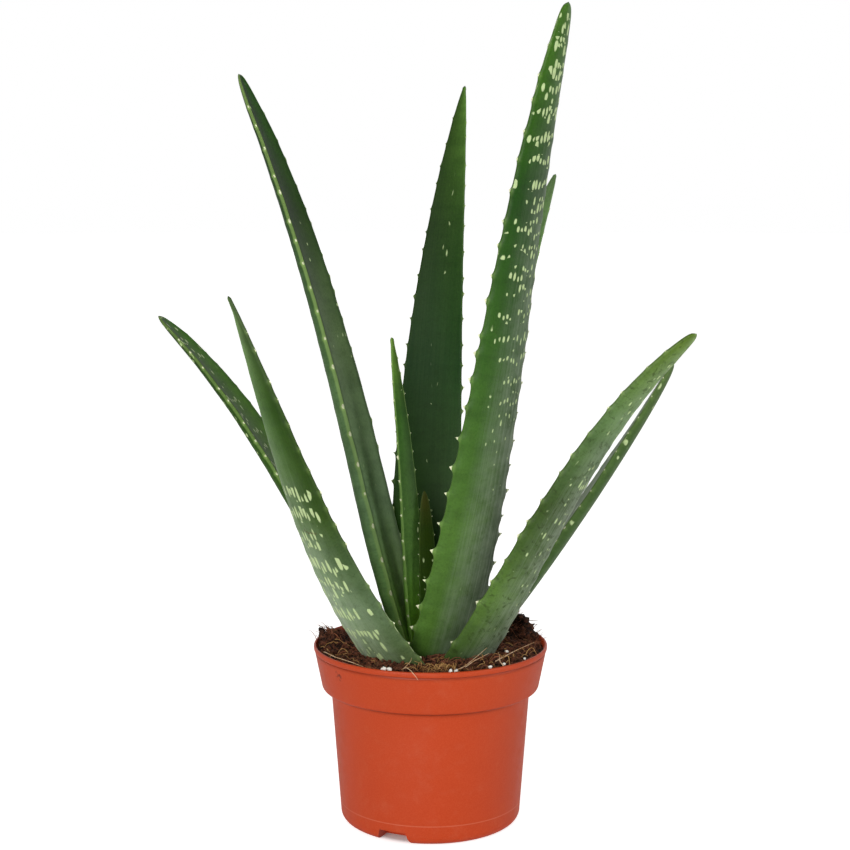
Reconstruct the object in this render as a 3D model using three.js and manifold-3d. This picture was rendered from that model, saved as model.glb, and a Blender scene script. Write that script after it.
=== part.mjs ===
// Potted aloe: a young rosette of ten toothed, fleshy leaves in a 12 cm plastic nursery pot.
// Millimetres, +Z up. The origin is the centre of the pot's base, on the pot's axis,
// and the plant's front is -Y. Angles are degrees, azimuths run from +X towards +Y.

import * as THREE from 'three';
import { mergeVertices } from 'three/addons/utils/BufferGeometryUtils.js';
import Module from 'manifold-3d';

const wasm = await Module();
wasm.setup();

// ---- driving dimensions -------------------------------------------------------------------

const GAP = 0.3;                  // left between pieces that touch on the real plant

const RIM_RADIUS = 60;            // a 12 cm pot is 120 mm across its rim
const POT_HEIGHT = 92;
const WALL = 1.4;
const LIP_HEIGHT = 3;             // the rim's lip, a little prouder than the band below it
const LIP_OUT = 0.4;
const LIP_EDGE = 0.6;             // the small bevel along its top
const BAND_HEIGHT = 22.4;         // the band under the rim
const BAND_FOOT_RADIUS = 55.6;
const BAND_ROUND = 2.4;           // radius of the band's lower edge
const HOLLOW = 2;                 // radius of the hollow where the band meets the body
const BODY_TOP_RADIUS = 51;
const BODY_FOOT_RADIUS = 46.4;
const CORNER_RADIUS = 5;          // between the body and the base
const BASE_THICKNESS = 1.8;
const POT_SIDES = 56;

const NOTCH_COUNT = 3;            // drainage notches in the foot of the pot
const NOTCH_AZIMUTH = 245.5;      // the one that shows is left of the front
const NOTCH_WIDTH = 14.2;         // at its roof
const NOTCH_HEIGHT = 6.3;
const NOTCH_DEPTH = 13;
const NOTCH_SLOPE = 2.2;          // how far each side of a notch leans
const DRAIN_LENGTH = 10;          // the slot in the roof of each notch
const DRAIN_WIDTH = 4;

const SOIL_LEVEL = 88.5;
const SOIL_FREEBOARD = 1.2;       // the soil's edge stays this far under the top of the rim
const SOIL_SLACK = 0.1;           // extra room at the wall, whose inside is a little polygonal
const SOIL_RINGS = 9;
const SOIL_SIDES = 40;
const SOIL_LUMP = 1.2;            // height of the crumbs' relief
const SOIL_SCATTER = 1.6;         // and how far they stand out of line
const SWELL_HEIGHT = 0.8;         // a slow rise and fall over the whole top
const SWELL_LENGTH = [9, 11];     // its wave along X and Y, as the run for one radian
// Heaps on the level soil, each [x, y, height, spread]: round the crown, and against the rim.
const HEAPS = [[1, -5, 2.2, 21], [44, 32, 8.5, 8], [-51, 12, 6, 7], [-18, 46, 3, 16]];

const CROWN = [1, -5];            // where the plant's axis stands in the pot
const STEM_FOOT = 46;
const STEM_TOP = 95;
const STEM_RADIUS = 8.5;
const STEM_SIDES = 20;
const ROOT_LENGTH = 24;           // the tapered stub below the stem
const BUD_HEIGHT = 12;            // the pointed top of the stem, inside the innermost leaf

const CHANNEL = 0.1;              // depth of the channel in a leaf's upper face, in half widths
const MARGIN = 1.0;               // thickness of a leaf's edge
const TIP_HALF_WIDTH = 0.9;
const TIP_POINT = 1.2;            // the last point's reach past the last section
const TIP_SECTIONS = [0.45, 0.12];  // where the last sections stand, in intervals from the tip
const THINNEST = 1.3;             // a leaf's least depth, at its tip
const MARGIN_SHARE = 0.7;         // its edge is never thicker than this share of its depth
const NECK_REACH = 0.25;          // share of its length over which a leaf narrows to its foot
const FOOT_SET_IN = 2;            // how far a leaf's foot runs into the stem
const FOOT_HALF_WIDTH = 7.5;      // of the foot there, for leaves that start clear of the stem
const TOOTH_FIRST = 16;           // teeth start this far up a leaf
const TOOTH_START = [0.22, 0.48];  // each stands here in its interval, between these shares
const TOOTH_RANGE = [0.8, 1.15];  // their heights vary between these shares
const TOOTH_AT_TIP = 0.45;        // and shrink to this share towards the leaf's tip
const TOOTH_INSET = 0.08;         // a tooth's foot keeps this share of the edge's thickness free
const TOOTH_SPAN = 1.75;          // a tooth's length along the edge, in heights
const TOOTH_HOOK = 0.25;          // how far it leans towards the leaf's tip
const TOOTH_PEAK = 0.62;          // where its point stands along its foot
const TOOTH_ROOM = 1.4;           // room left for a neighbour's teeth, in tooth heights
const MIDLINE_STEPS = 96;
const SEED = 20;

// One entry for each leaf, inner leaves first. azimuth: at the foot and the tip. lean: from
// upright at the foot, half way and the tip. twist: about its own length, foot and tip.
// fullness: depth over half width. taper: half width = width / 2 * (1 - s^p)^q for [p, q], less
// the neck's share of it at the foot. seat: distance from the crown's axis, and height.
// tooth: spacing and height of the teeth.
const LEAVES = [
  { name: 'leaf_heart', azimuth: [110, 110], lean: [6, 9, 7], twist: [0, 0], length: 77,
    width: 12, neck: 0, fullness: 0.5, taper: [1.3, 0.42], seat: [1, 93], tooth: [9, 1.0] },
  { name: 'leaf_young', azimuth: [150, 104.5], lean: [7.6, 7.6, 27.8], twist: [0, 13.5],
    length: 160, width: 20, neck: 0.2, fullness: 0.57, taper: [0.63, 0.57], seat: [7, 91],
    tooth: [10, 1.3] },
  { name: 'leaf_tall_left', azimuth: [151, 154.8], lean: [16.9, 17.5, 29.2], twist: [16, -1],
    length: 315.5, width: 43, neck: 0.35, fullness: 0.62, taper: [0.77, 0.42], seat: [8.5, 86],
    tooth: [12.5, 1.7] },
  { name: 'leaf_tall_right', azimuth: [300, 318.2], lean: [25.8, 13.1, 18.2], twist: [-4.3, 12],
    length: 332, width: 36.2, neck: 0, fullness: 0.41, taper: [1.35, 0.33], seat: [6, 86],
    tooth: [13.5, 2.1] },
  { name: 'leaf_back', azimuth: [97.3, 53.3], lean: [19.8, 15.3, 15.2], twist: [1.4, -2.5],
    length: 309, width: 38.5, neck: 0.35, fullness: 0.36, taper: [2, 0.7], seat: [15, 83],
    tooth: [12.5, 1.5] },
  { name: 'leaf_behind_right', azimuth: [42, 49], lean: [19.4, 14.1, 33.4], twist: [-6.5, 10],
    length: 264, width: 22.5, neck: 0.15, fullness: 0.47, taper: [1.9, 0.55],
    seat: [11.5, 82], tooth: [12.5, 1.5] },
  { name: 'leaf_far_right', azimuth: [12, 5], lean: [41.2, 35.9, 32], twist: [-9, -11.5],
    length: 192.5, width: 28.5, neck: 0.1, fullness: 0.56, taper: [1.25, 0.31],
    seat: [11.5, 80], tooth: [11, 1.4] },
  { name: 'leaf_low_right', azimuth: [325, 336], lean: [36.8, 31.1, 50.5], twist: [-22, -19],
    length: 218, width: 30, neck: 0, fullness: 0.49, taper: [0.68, 0.3], seat: [14, 79],
    tooth: [13, 1.8] },
  { name: 'leaf_far_left', azimuth: [162.2, 158.9], lean: [37.7, 34.2, 54.1], twist: [6.5, 2],
    length: 229, width: 33.8, neck: 0.27, fullness: 0.54, taper: [1.47, 0.41],
    seat: [12.5, 78], tooth: [11.5, 1.5] },
  { name: 'leaf_low_left', azimuth: [218, 212.3], lean: [45, 24.2, 24.2], twist: [10.5, -11.5],
    length: 223, width: 39.8, neck: 0, fullness: 0.44, taper: [2.3, 0.77], seat: [13, 77],
    tooth: [12, 1.7] },
];

// ---- materials ----------------------------------------------------------------------------

const plastic = new THREE.MeshStandardMaterial({ color: 0xc84b2d, roughness: 0.45, metalness: 0 });
const peat = new THREE.MeshStandardMaterial({ color: 0x3a2418, roughness: 0.95, metalness: 0 });
const crown = new THREE.MeshStandardMaterial({ color: 0x8fa36a, roughness: 0.6, metalness: 0 });
const leafGreen = new THREE.MeshStandardMaterial({ color: 0x3f6b3a, roughness: 0.42, metalness: 0 });

// ---- helpers ------------------------------------------------------------------------------

const radians = THREE.MathUtils.degToRad;
const mix = THREE.MathUtils.lerp;

// A small seeded generator, so the relief and the teeth are the same every time.
function seededRandom(seed) {
  let state = seed >>> 0;
  return () => {
    state = (state + 0x6d2b79f5) >>> 0;
    let t = state;
    t = Math.imul(t ^ (t >>> 15), t | 1);
    t ^= t + Math.imul(t ^ (t >>> 7), t | 61);
    return ((t ^ (t >>> 14)) >>> 0) / 4294967296;
  };
}

function geometryOf(points, triangles) {
  const geometry = new THREE.BufferGeometry();
  geometry.setAttribute('position', new THREE.Float32BufferAttribute(points.flat(), 3));
  geometry.setIndex(triangles.flat());
  return geometry;
}

function toSolid(geometry) {
  const bare = geometry.clone();
  bare.deleteAttribute('normal');
  bare.deleteAttribute('uv');
  const merged = mergeVertices(bare, 1e-4);
  return new wasm.Manifold(new wasm.Mesh({
    numProp: 3,
    vertProperties: new Float32Array(merged.attributes.position.array),
    triVerts: new Uint32Array(merged.index.array),
  }));
}

// The largest body of a cut solid: scraps that a cut leaves behind are dropped.
function largestBody(solid) {
  const bodies = solid.decompose();
  return bodies.reduce((best, body) => (body.volume() > best.volume() ? body : best));
}

function toMesh(name, solid, material) {
  const { vertProperties, triVerts } = solid.getMesh();
  const geometry = new THREE.BufferGeometry();
  geometry.setAttribute('position', new THREE.Float32BufferAttribute(vertProperties, 3));
  geometry.setIndex(new THREE.Uint32BufferAttribute(triVerts, 1));
  const flat = geometry.toNonIndexed();
  flat.computeVertexNormals();
  const mesh = new THREE.Mesh(flat, material);
  mesh.name = name;
  return mesh;
}

// A closed surface of revolution about Z from [radius, height] pairs that start and end on it.
function turned(profile, sides) {
  const outline = profile.map(([radius, height]) => new THREE.Vector2(radius, height));
  const lathe = new THREE.LatheGeometry(outline, sides);
  return lathe.rotateX(Math.PI / 2);
}

// Points of an arc in the [radius, height] plane.
function arc(centre, radius, from, to, steps) {
  return Array.from({ length: steps + 1 }, (_, i) => {
    const angle = radians(mix(from, to, i / steps));
    return [centre[0] + radius * Math.cos(angle), centre[1] + radius * Math.sin(angle)];
  });
}

// ---- the pot ------------------------------------------------------------------------------

const BAND_FOOT = POT_HEIGHT - BAND_HEIGHT;

// The inner face of the wall, from the floor's centre to the rim, moved in by a clearance.
function innerProfile(clearance) {
  const inset = WALL + clearance;
  return [
    [0, BASE_THICKNESS + clearance],
    [BODY_FOOT_RADIUS - inset - CORNER_RADIUS / 2, BASE_THICKNESS + clearance],
    [BODY_FOOT_RADIUS - inset, CORNER_RADIUS + clearance],
    [BODY_TOP_RADIUS - inset, BAND_FOOT - HOLLOW / 2],
    [BAND_FOOT_RADIUS - inset, BAND_FOOT + 1.5 * HOLLOW],
    [RIM_RADIUS - inset, POT_HEIGHT - LIP_EDGE],
  ];
}

// A notch's cross-section, drawn out along +X between two radii, at the first notch.
function notchBlock(grow, top, from, to) {
  const half = NOTCH_WIDTH / 2 + grow;
  const outline = new THREE.Shape([
    new THREE.Vector2(-half - NOTCH_SLOPE, -1),
    new THREE.Vector2(half + NOTCH_SLOPE, -1),
    new THREE.Vector2(half, top),
    new THREE.Vector2(-half, top),
  ]);
  const block = new THREE.ExtrudeGeometry(outline, { depth: to - from, bevelEnabled: false });
  block.rotateX(Math.PI / 2).rotateZ(Math.PI / 2);
  return block.translate(from, 0, 0);
}

function atEachNotch(geometry) {
  return Array.from({ length: NOTCH_COUNT }, (_, i) => {
    const angle = radians(NOTCH_AZIMUTH + (i * 360) / NOTCH_COUNT);
    return toSolid(geometry.clone().rotateZ(angle));
  });
}

// The pockets in the pot's floor that roof the notches, with a clearance for the soil.
function pockets(clearance) {
  const roof = NOTCH_HEIGHT + WALL + clearance;
  const inner = BODY_FOOT_RADIUS - NOTCH_DEPTH - WALL - clearance;
  const block = notchBlock(WALL + clearance, roof, inner, BODY_FOOT_RADIUS);
  const potSpace = toSolid(turned([...outerProfile(), [0, POT_HEIGHT]], POT_SIDES));
  return atEachNotch(block).map((solid) => solid.intersect(potSpace));
}

// The outside of the pot, from the middle of its base to the top of its rim.
function outerProfile() {
  const corner = [BODY_FOOT_RADIUS - CORNER_RADIUS, CORNER_RADIUS];
  const hollow = [BODY_TOP_RADIUS + HOLLOW, BAND_FOOT - 1.3 * HOLLOW];
  const bandEdge = [BAND_FOOT_RADIUS - 0.85 * BAND_ROUND, BAND_FOOT + 0.85 * BAND_ROUND];
  return [
    [0, 0],
    ...arc(corner, CORNER_RADIUS, -90, 0, 5),
    [BODY_TOP_RADIUS, hollow[1]],
    ...arc(hollow, HOLLOW, 150, 95, 2),
    ...arc(bandEdge, BAND_ROUND, -75, -15, 3),
    [RIM_RADIUS - LIP_OUT, POT_HEIGHT - LIP_HEIGHT],
    [RIM_RADIUS, POT_HEIGHT - LIP_HEIGHT / 2],
    [RIM_RADIUS, POT_HEIGHT - LIP_EDGE],
    [RIM_RADIUS - LIP_EDGE, POT_HEIGHT],
    [RIM_RADIUS - WALL + LIP_EDGE / 2, POT_HEIGHT],
  ];
}

function makePot() {
  const inner = innerProfile(0).reverse();
  let pot = toSolid(turned([...outerProfile(), ...inner], POT_SIDES));
  pockets(0).forEach((pocket) => {
    pot = pot.add(pocket);
  });
  const end = BODY_FOOT_RADIUS - NOTCH_DEPTH;
  const notch = notchBlock(0, NOTCH_HEIGHT, end, BODY_FOOT_RADIUS + WALL);
  const drain = new THREE.BoxGeometry(DRAIN_WIDTH, DRAIN_LENGTH, 3 * NOTCH_HEIGHT);
  drain.translate(end + DRAIN_WIDTH, 0, NOTCH_HEIGHT);
  [...atEachNotch(notch), ...atEachNotch(drain)].forEach((cut) => {
    pot = pot.subtract(cut);
  });
  return pot;
}

// ---- the stem -----------------------------------------------------------------------------

// A short stem with its root stub, which the leaves clasp and the soil hides.
function makeStem(clearance) {
  const radius = STEM_RADIUS + clearance;
  const top = STEM_TOP + clearance;
  const stem = turned([
    [0, STEM_FOOT - clearance],
    [0.3 * STEM_RADIUS + clearance, STEM_FOOT - clearance],
    [0.6 * STEM_RADIUS + clearance, STEM_FOOT + ROOT_LENGTH / 2],
    [radius, STEM_FOOT + ROOT_LENGTH],
    [radius, top - BUD_HEIGHT],
    [0.65 * STEM_RADIUS + clearance, top - BUD_HEIGHT / 4],
    [0.35 * STEM_RADIUS + clearance, top],
    [0, top],
  ], STEM_SIDES);
  return toSolid(stem.translate(CROWN[0], CROWN[1], 0));
}

// ---- the leaves ---------------------------------------------------------------------------

// A smooth value that passes through three given ones at s = 0, 0.5 and 1.
function through([start, middle, end], s) {
  return start * (1 - s) * (1 - 2 * s) + middle * 4 * s * (1 - s) + end * s * (2 * s - 1);
}

function directionAt(leaf, s) {
  const azimuth = radians(mix(leaf.azimuth[0], leaf.azimuth[1], s));
  const lean = radians(through(leaf.lean, s));
  const twist = radians(mix(leaf.twist[0], leaf.twist[1], s));
  const outward = new THREE.Vector3(Math.cos(azimuth), Math.sin(azimuth), 0);
  const along = outward.clone().multiplyScalar(Math.sin(lean)).setZ(Math.cos(lean));
  const up = outward.clone().multiplyScalar(-Math.cos(lean)).setZ(Math.sin(lean));
  up.applyAxisAngle(along, twist);
  const across = new THREE.Vector3().crossVectors(along, up);
  return { along, up, across };
}

// The leaf's midline: points every small step along its length, from its seat on the stem.
function midline(leaf) {
  const azimuth = radians(leaf.azimuth[0]);
  const [distance, height] = leaf.seat;
  const points = [new THREE.Vector3(
    CROWN[0] + distance * Math.cos(azimuth),
    CROWN[1] + distance * Math.sin(azimuth),
    height,
  )];
  for (let i = 0; i < MIDLINE_STEPS; i += 1) {
    const { along } = directionAt(leaf, (i + 0.5) / MIDLINE_STEPS);
    points.push(points[i].clone().addScaledVector(along, leaf.length / MIDLINE_STEPS));
  }
  return (s) => {
    const at = THREE.MathUtils.clamp(s, 0, 1) * MIDLINE_STEPS;
    const i = Math.min(Math.floor(at), MIDLINE_STEPS - 1);
    return points[i].clone().lerp(points[i + 1], at - i);
  };
}

function halfWidthAt(leaf, s) {
  const [p, q] = leaf.taper;
  const waist = 1 - leaf.neck * Math.max(0, 1 - s / NECK_REACH) ** 2;
  return Math.max((leaf.width / 2) * (1 - s ** p) ** q * waist, TIP_HALF_WIDTH);
}

// One cross-section as [across, up] pairs: the channelled upper face from one edge to the
// other, then the full, rounded lower face back. The first and last pair of each edge are the
// edge's upper and lower corners.
const UPPER_STEPS = [-1, -0.45, 0.45, 1];
const LOWER_STEPS = [1, 0.82, 0.34, -0.34, -0.82, -1];

function section(halfWidth, fullness, clearance, margin) {
  const half = halfWidth + clearance + margin;
  const depth = Math.max(fullness * halfWidth, THINNEST) + clearance;
  const edge = Math.min(MARGIN, depth * MARGIN_SHARE) / 2 + clearance;
  const channel = margin > 0 ? 0 : CHANNEL * halfWidth;
  const upper = UPPER_STEPS.map((v) => [v * half, edge - channel * (1 - v * v)]);
  const lower = LOWER_STEPS.map((v) => [
    v * half,
    -edge - (depth - edge) * Math.sqrt(1 - v * v),
  ]);
  return [...upper, ...lower];
}

const RING = UPPER_STEPS.length + LOWER_STEPS.length;
const RIGHT_EDGE = UPPER_STEPS.length - 1;
const LEFT_EDGE = RING - 1;

// A tooth raised from one facet of the edge: a four-sided spine on a base set into the facet.
function addTooth(points, triangles, corners, tooth) {
  const [a, b, c, d] = corners;
  const at = (i) => new THREE.Vector3(...points[i]);
  const onFacet = (alongS, acrossS) => {
    const low = at(a).lerp(at(b), acrossS);
    const high = at(d).lerp(at(c), acrossS);
    return low.lerp(high, alongS);
  };
  const foot = [
    onFacet(tooth.from, TOOTH_INSET),
    onFacet(tooth.from, 1 - TOOTH_INSET),
    onFacet(tooth.to, 1 - TOOTH_INSET),
    onFacet(tooth.to, TOOTH_INSET),
  ];
  const apex = onFacet(mix(tooth.from, tooth.to, TOOTH_PEAK), 0.5);
  apex.addScaledVector(tooth.out, tooth.height);
  const first = points.length;
  [...foot, apex].forEach((point) => points.push(point.toArray()));
  const [p, q, r, s, t] = [0, 1, 2, 3, 4].map((i) => first + i);
  triangles.push(
    [a, b, q], [a, q, p], [b, c, r], [b, r, q], [c, d, s], [c, s, r], [d, a, p], [d, p, s],
    [p, q, t], [q, r, t], [r, s, t], [s, p, t],
  );
}

// How far inwards and down a leaf's hidden foot lies from its seat, to reach the stem.
function footShift(leaf) {
  const inward = leaf.seat[0] - STEM_RADIUS + FOOT_SET_IN;
  const azimuth = radians(leaf.azimuth[0]);
  return new THREE.Vector3(-Math.cos(azimuth), -Math.sin(azimuth), -1).multiplyScalar(inward);
}

// The solid of one leaf. With a clearance it is the plain space that its neighbours leave it,
// and reach is how far that space stands past the edges, for the teeth.
function makeLeaf(leaf, clearance = 0, reach = 0) {
  const place = midline(leaf);
  const random = seededRandom(SEED + LEAVES.indexOf(leaf));
  const [spacing, toothHeight] = leaf.tooth;
  const intervals = Math.round(leaf.length / spacing);
  const stations = Array.from({ length: intervals }, (_, i) => i / intervals);
  stations.push(...TIP_SECTIONS.map((left) => 1 - left / intervals));

  const points = [];
  const triangles = [];
  const addRing = (s, halfWidth, shift) => {
    const { up, across } = directionAt(leaf, s);
    const centre = place(s).add(shift);
    section(halfWidth, leaf.fullness, clearance, reach).forEach(([x, y]) => {
      const point = centre.clone().addScaledVector(across, x).addScaledVector(up, y);
      points.push(point.toArray());
    });
  };

  const foot = directionAt(leaf, 0);
  const startsClear = leaf.seat[0] > STEM_RADIUS;
  const footHalf = startsClear ? FOOT_HALF_WIDTH : halfWidthAt(leaf, 0);
  const shift = startsClear ? footShift(leaf) : new THREE.Vector3();
  shift.addScaledVector(foot.along, -clearance);
  addRing(0, footHalf, shift);
  const sections = startsClear ? stations : stations.slice(1);
  sections.forEach((s) => addRing(s, halfWidthAt(leaf, s), new THREE.Vector3()));

  const tip = directionAt(leaf, 1);
  const tipDepth = Math.max(leaf.fullness * TIP_HALF_WIDTH, THINNEST) / 3;
  const tipPoint = place(1).addScaledVector(tip.along, TIP_POINT + clearance);
  const footPoint = place(0).add(shift).addScaledVector(foot.up, -leaf.fullness * footHalf / 2);
  const tipIndex = points.push(tipPoint.addScaledVector(tip.up, -tipDepth).toArray()) - 1;
  const footIndex = points.push(footPoint.toArray()) - 1;

  const starts = [0, ...sections];
  for (let i = 0; i < starts.length - 1; i += 1) {
    const middle = (starts[i] + starts[i + 1]) / 2;
    const hasTooth = clearance === 0 && starts[i] * leaf.length > TOOTH_FIRST
      && starts[i + 1] <= 1 - 1 / intervals;
    const { across, along } = directionAt(leaf, middle);
    for (let k = 0; k < RING; k += 1) {
      const next = (k + 1) % RING;
      const corners = [i * RING + k, i * RING + next, (i + 1) * RING + next, (i + 1) * RING + k];
      if (hasTooth && (k === RIGHT_EDGE || k === LEFT_EDGE)) {
        const from = mix(...TOOTH_START, random());
        const share = mix(...TOOTH_RANGE, random()) * mix(1, TOOTH_AT_TIP, middle);
        const height = toothHeight * share;
        const to = from + (TOOTH_SPAN * height) / spacing;
        const out = across.clone().multiplyScalar(k === RIGHT_EDGE ? 1 : -1);
        out.addScaledVector(along, TOOTH_HOOK);
        addTooth(points, triangles, corners, { from, to, out, height });
      } else {
        const [a, b, c, d] = corners;
        triangles.push([a, b, c], [a, c, d]);
      }
    }
  }
  const last = (starts.length - 1) * RING;
  for (let k = 0; k < RING; k += 1) {
    const next = (k + 1) % RING;
    triangles.push([last + k, last + next, tipIndex], [next, k, footIndex]);
  }
  return toSolid(geometryOf(points, triangles));
}

// Every leaf, each trimmed where it clasps the stem and the leaves inside it.
function makeLeaves(stemSpace) {
  const spaces = [stemSpace];
  return LEAVES.map((leaf) => {
    let solid = makeLeaf(leaf);
    spaces.forEach((space) => {
      solid = solid.subtract(space);
    });
    spaces.push(makeLeaf(leaf, GAP, TOOTH_ROOM * leaf.tooth[1]));
    return { name: leaf.name, solid: largestBody(solid) };
  });
}

// ---- the soil -----------------------------------------------------------------------------

// Height of the soil: level but for its heaps, a slow swell and the crumbs.
function soilHeight(x, y, random) {
  const heaps = HEAPS.map(([heapX, heapY, height, spread]) => (
    height * Math.exp(-((x - heapX) ** 2 + (y - heapY) ** 2) / (2 * spread ** 2))
  ));
  const swell = SWELL_HEIGHT * Math.sin(x / SWELL_LENGTH[0] + 1) * Math.cos(y / SWELL_LENGTH[1]);
  const crumb = SOIL_LUMP * mix(-1, 1, random());
  return SOIL_LEVEL + heaps.reduce((sum, heap) => sum + heap, 0) + swell + crumb;
}

// Points of one ring of the soil. Every other ring is turned by half a step.
function soilRing(ring, placeAt) {
  return Array.from({ length: SOIL_SIDES }, (_, i) => {
    const angle = radians((i + 0.5 * (ring % 2)) * (360 / SOIL_SIDES));
    const [radius, height] = placeAt(angle);
    return [radius * Math.cos(angle), radius * Math.sin(angle), height];
  });
}

// The soil fills the pot: rings out over its top, then down the wall to the floor.
function makeSoil(stemSpace, leafSpaces) {
  const random = seededRandom(SEED);
  const wall = innerProfile(GAP + SOIL_SLACK);
  const [lowWall, highWall] = wall.slice(-2);
  const rings = [];
  for (let ring = 1; ring < SOIL_RINGS; ring += 1) {
    rings.push(soilRing(ring, (angle) => {
      const radius = (ring / SOIL_RINGS) * highWall[0] + SOIL_SCATTER * (random() - 0.5);
      return [radius, soilHeight(radius * Math.cos(angle), radius * Math.sin(angle), random)];
    }));
  }
  rings.push(soilRing(SOIL_RINGS, (angle) => {
    const [x, y] = [highWall[0] * Math.cos(angle), highWall[0] * Math.sin(angle)];
    const height = Math.min(soilHeight(x, y, random), POT_HEIGHT - SOIL_FREEBOARD);
    const share = (height - lowWall[1]) / (highWall[1] - lowWall[1]);
    return [mix(lowWall[0], highWall[0], share), height];
  }));
  wall.slice(1, -1).reverse().forEach(([radius, height]) => {
    rings.push(soilRing(rings.length + 1, () => [radius, height]));
  });

  const points = [[0, 0, soilHeight(0, 0, random)], ...rings.flat(), [0, 0, wall[0][1]]];
  const triangles = [];
  const at = (ring, i) => 1 + ring * SOIL_SIDES + ((i + SOIL_SIDES) % SOIL_SIDES);
  for (let i = 0; i < SOIL_SIDES; i += 1) {
    triangles.push([0, at(0, i), at(0, i + 1)]);
    for (let ring = 0; ring < rings.length - 1; ring += 1) {
      const turn = (ring + 1) % 2;
      const [a, b] = [at(ring, i), at(ring, i + 1)];
      const [c, d] = [at(ring + 1, i + turn), at(ring + 1, i + turn + 1)];
      triangles.push([a, c, b], [c, d, b]);
    }
    triangles.push([points.length - 1, at(rings.length - 1, i + 1), at(rings.length - 1, i)]);
  }
  let soil = toSolid(geometryOf(points, triangles));
  [stemSpace, ...leafSpaces, ...pockets(GAP)].forEach((space) => {
    soil = soil.subtract(space);
  });
  return largestBody(soil);
}

// ---- the whole plant ----------------------------------------------------------------------

const plant = new THREE.Group();
const stemSpace = makeStem(GAP);
plant.add(toMesh('pot', makePot(), plastic));
plant.add(toMesh('stem', makeStem(0), crown));
makeLeaves(stemSpace).forEach(({ name, solid }) => {
  plant.add(toMesh(name, solid, leafGreen));
});
plant.add(toMesh('soil', makeSoil(stemSpace, LEAVES.map((leaf) => makeLeaf(leaf, GAP, 0))), peat));

export default plant;
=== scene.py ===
"""Potted aloe: the finished look of every piece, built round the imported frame.

Metres, +Z up, the pot's base centre at the origin and the plant's front towards -Y, as in the
frame. Sizes in the tables below are millimetres and degrees, as on a drawing of the plant.
"""

import math
import random

import bmesh
import bpy
from mathutils import Matrix, Quaternion, Vector, noise


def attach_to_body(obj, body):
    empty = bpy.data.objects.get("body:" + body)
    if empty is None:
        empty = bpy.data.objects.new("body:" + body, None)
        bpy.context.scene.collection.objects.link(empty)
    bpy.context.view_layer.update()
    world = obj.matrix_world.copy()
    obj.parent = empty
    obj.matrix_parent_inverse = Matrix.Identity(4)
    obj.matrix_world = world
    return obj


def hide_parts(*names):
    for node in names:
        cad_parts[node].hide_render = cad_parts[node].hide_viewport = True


bl_info = {
    "name": "Potted aloe",
    "version": (1, 0, 0),
    "blender": (4, 5, 0),
    "location": "View3D > Sidebar > Aloe",
    "description": "Builds the leaves, soil, pot and stage of a potted aloe round its frame",
    "category": "Object",
}

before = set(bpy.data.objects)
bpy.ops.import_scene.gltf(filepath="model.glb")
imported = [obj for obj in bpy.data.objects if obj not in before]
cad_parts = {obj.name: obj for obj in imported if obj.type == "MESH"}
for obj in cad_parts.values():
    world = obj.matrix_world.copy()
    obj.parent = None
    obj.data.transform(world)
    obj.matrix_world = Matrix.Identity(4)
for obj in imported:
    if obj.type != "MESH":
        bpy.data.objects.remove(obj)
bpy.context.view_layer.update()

MM = 0.001
SEED = 20

# ---- the plant's sizes -----------------------------------------------------------------------

CROWN = (1, -5)
STEM_RADIUS = 8.5
FOOT_SET_IN = 2
FOOT_HALF_WIDTH = 7.5
CHANNEL = 0.1
MARGIN = 1.0
MARGIN_SHARE = 0.7
TIP_HALF_WIDTH = 0.9
TIP_POINT = 1.2
THINNEST = 1.3
NECK_REACH = 0.25

RING_STEP = 1.6
UPPER_STEPS = (-1, -0.9, -0.66, -0.34, 0, 0.34, 0.66, 0.9, 1)
LOWER_STEPS = 12
TOOTH_FIRST = 16
TOOTH_SPAN = 1.5
TOOTH_AT_TIP = 0.45
# A tooth is drawn out in steps: how far out and towards the tip, in heights, and the share of
# its foot that is left.
TOOTH_STEPS = ((0.16, 0.04, 0.74), (0.42, 0.12, 0.44), (0.72, 0.27, 0.22), (1.0, 0.45, 0.06))
TOOTH_SCALLOP = 0.34
HALO = 0.3  # value of the tooth layer at a tooth's foot
HALO_REACH = 1.1
RIPPLE = 0.35
RIPPLE_LENGTH = 17
TIP_ZONE = 7
TIP_RINGS = (5.9, 4.8, 3.7, 2.7, 1.8, 1.0, 0.4)
# The lower face bulges, so what is painted on it is stretched: over its width and at its edges.
LOWER_WIDER = 1.25
LOWER_EDGE_WIDER = 1.6

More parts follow.
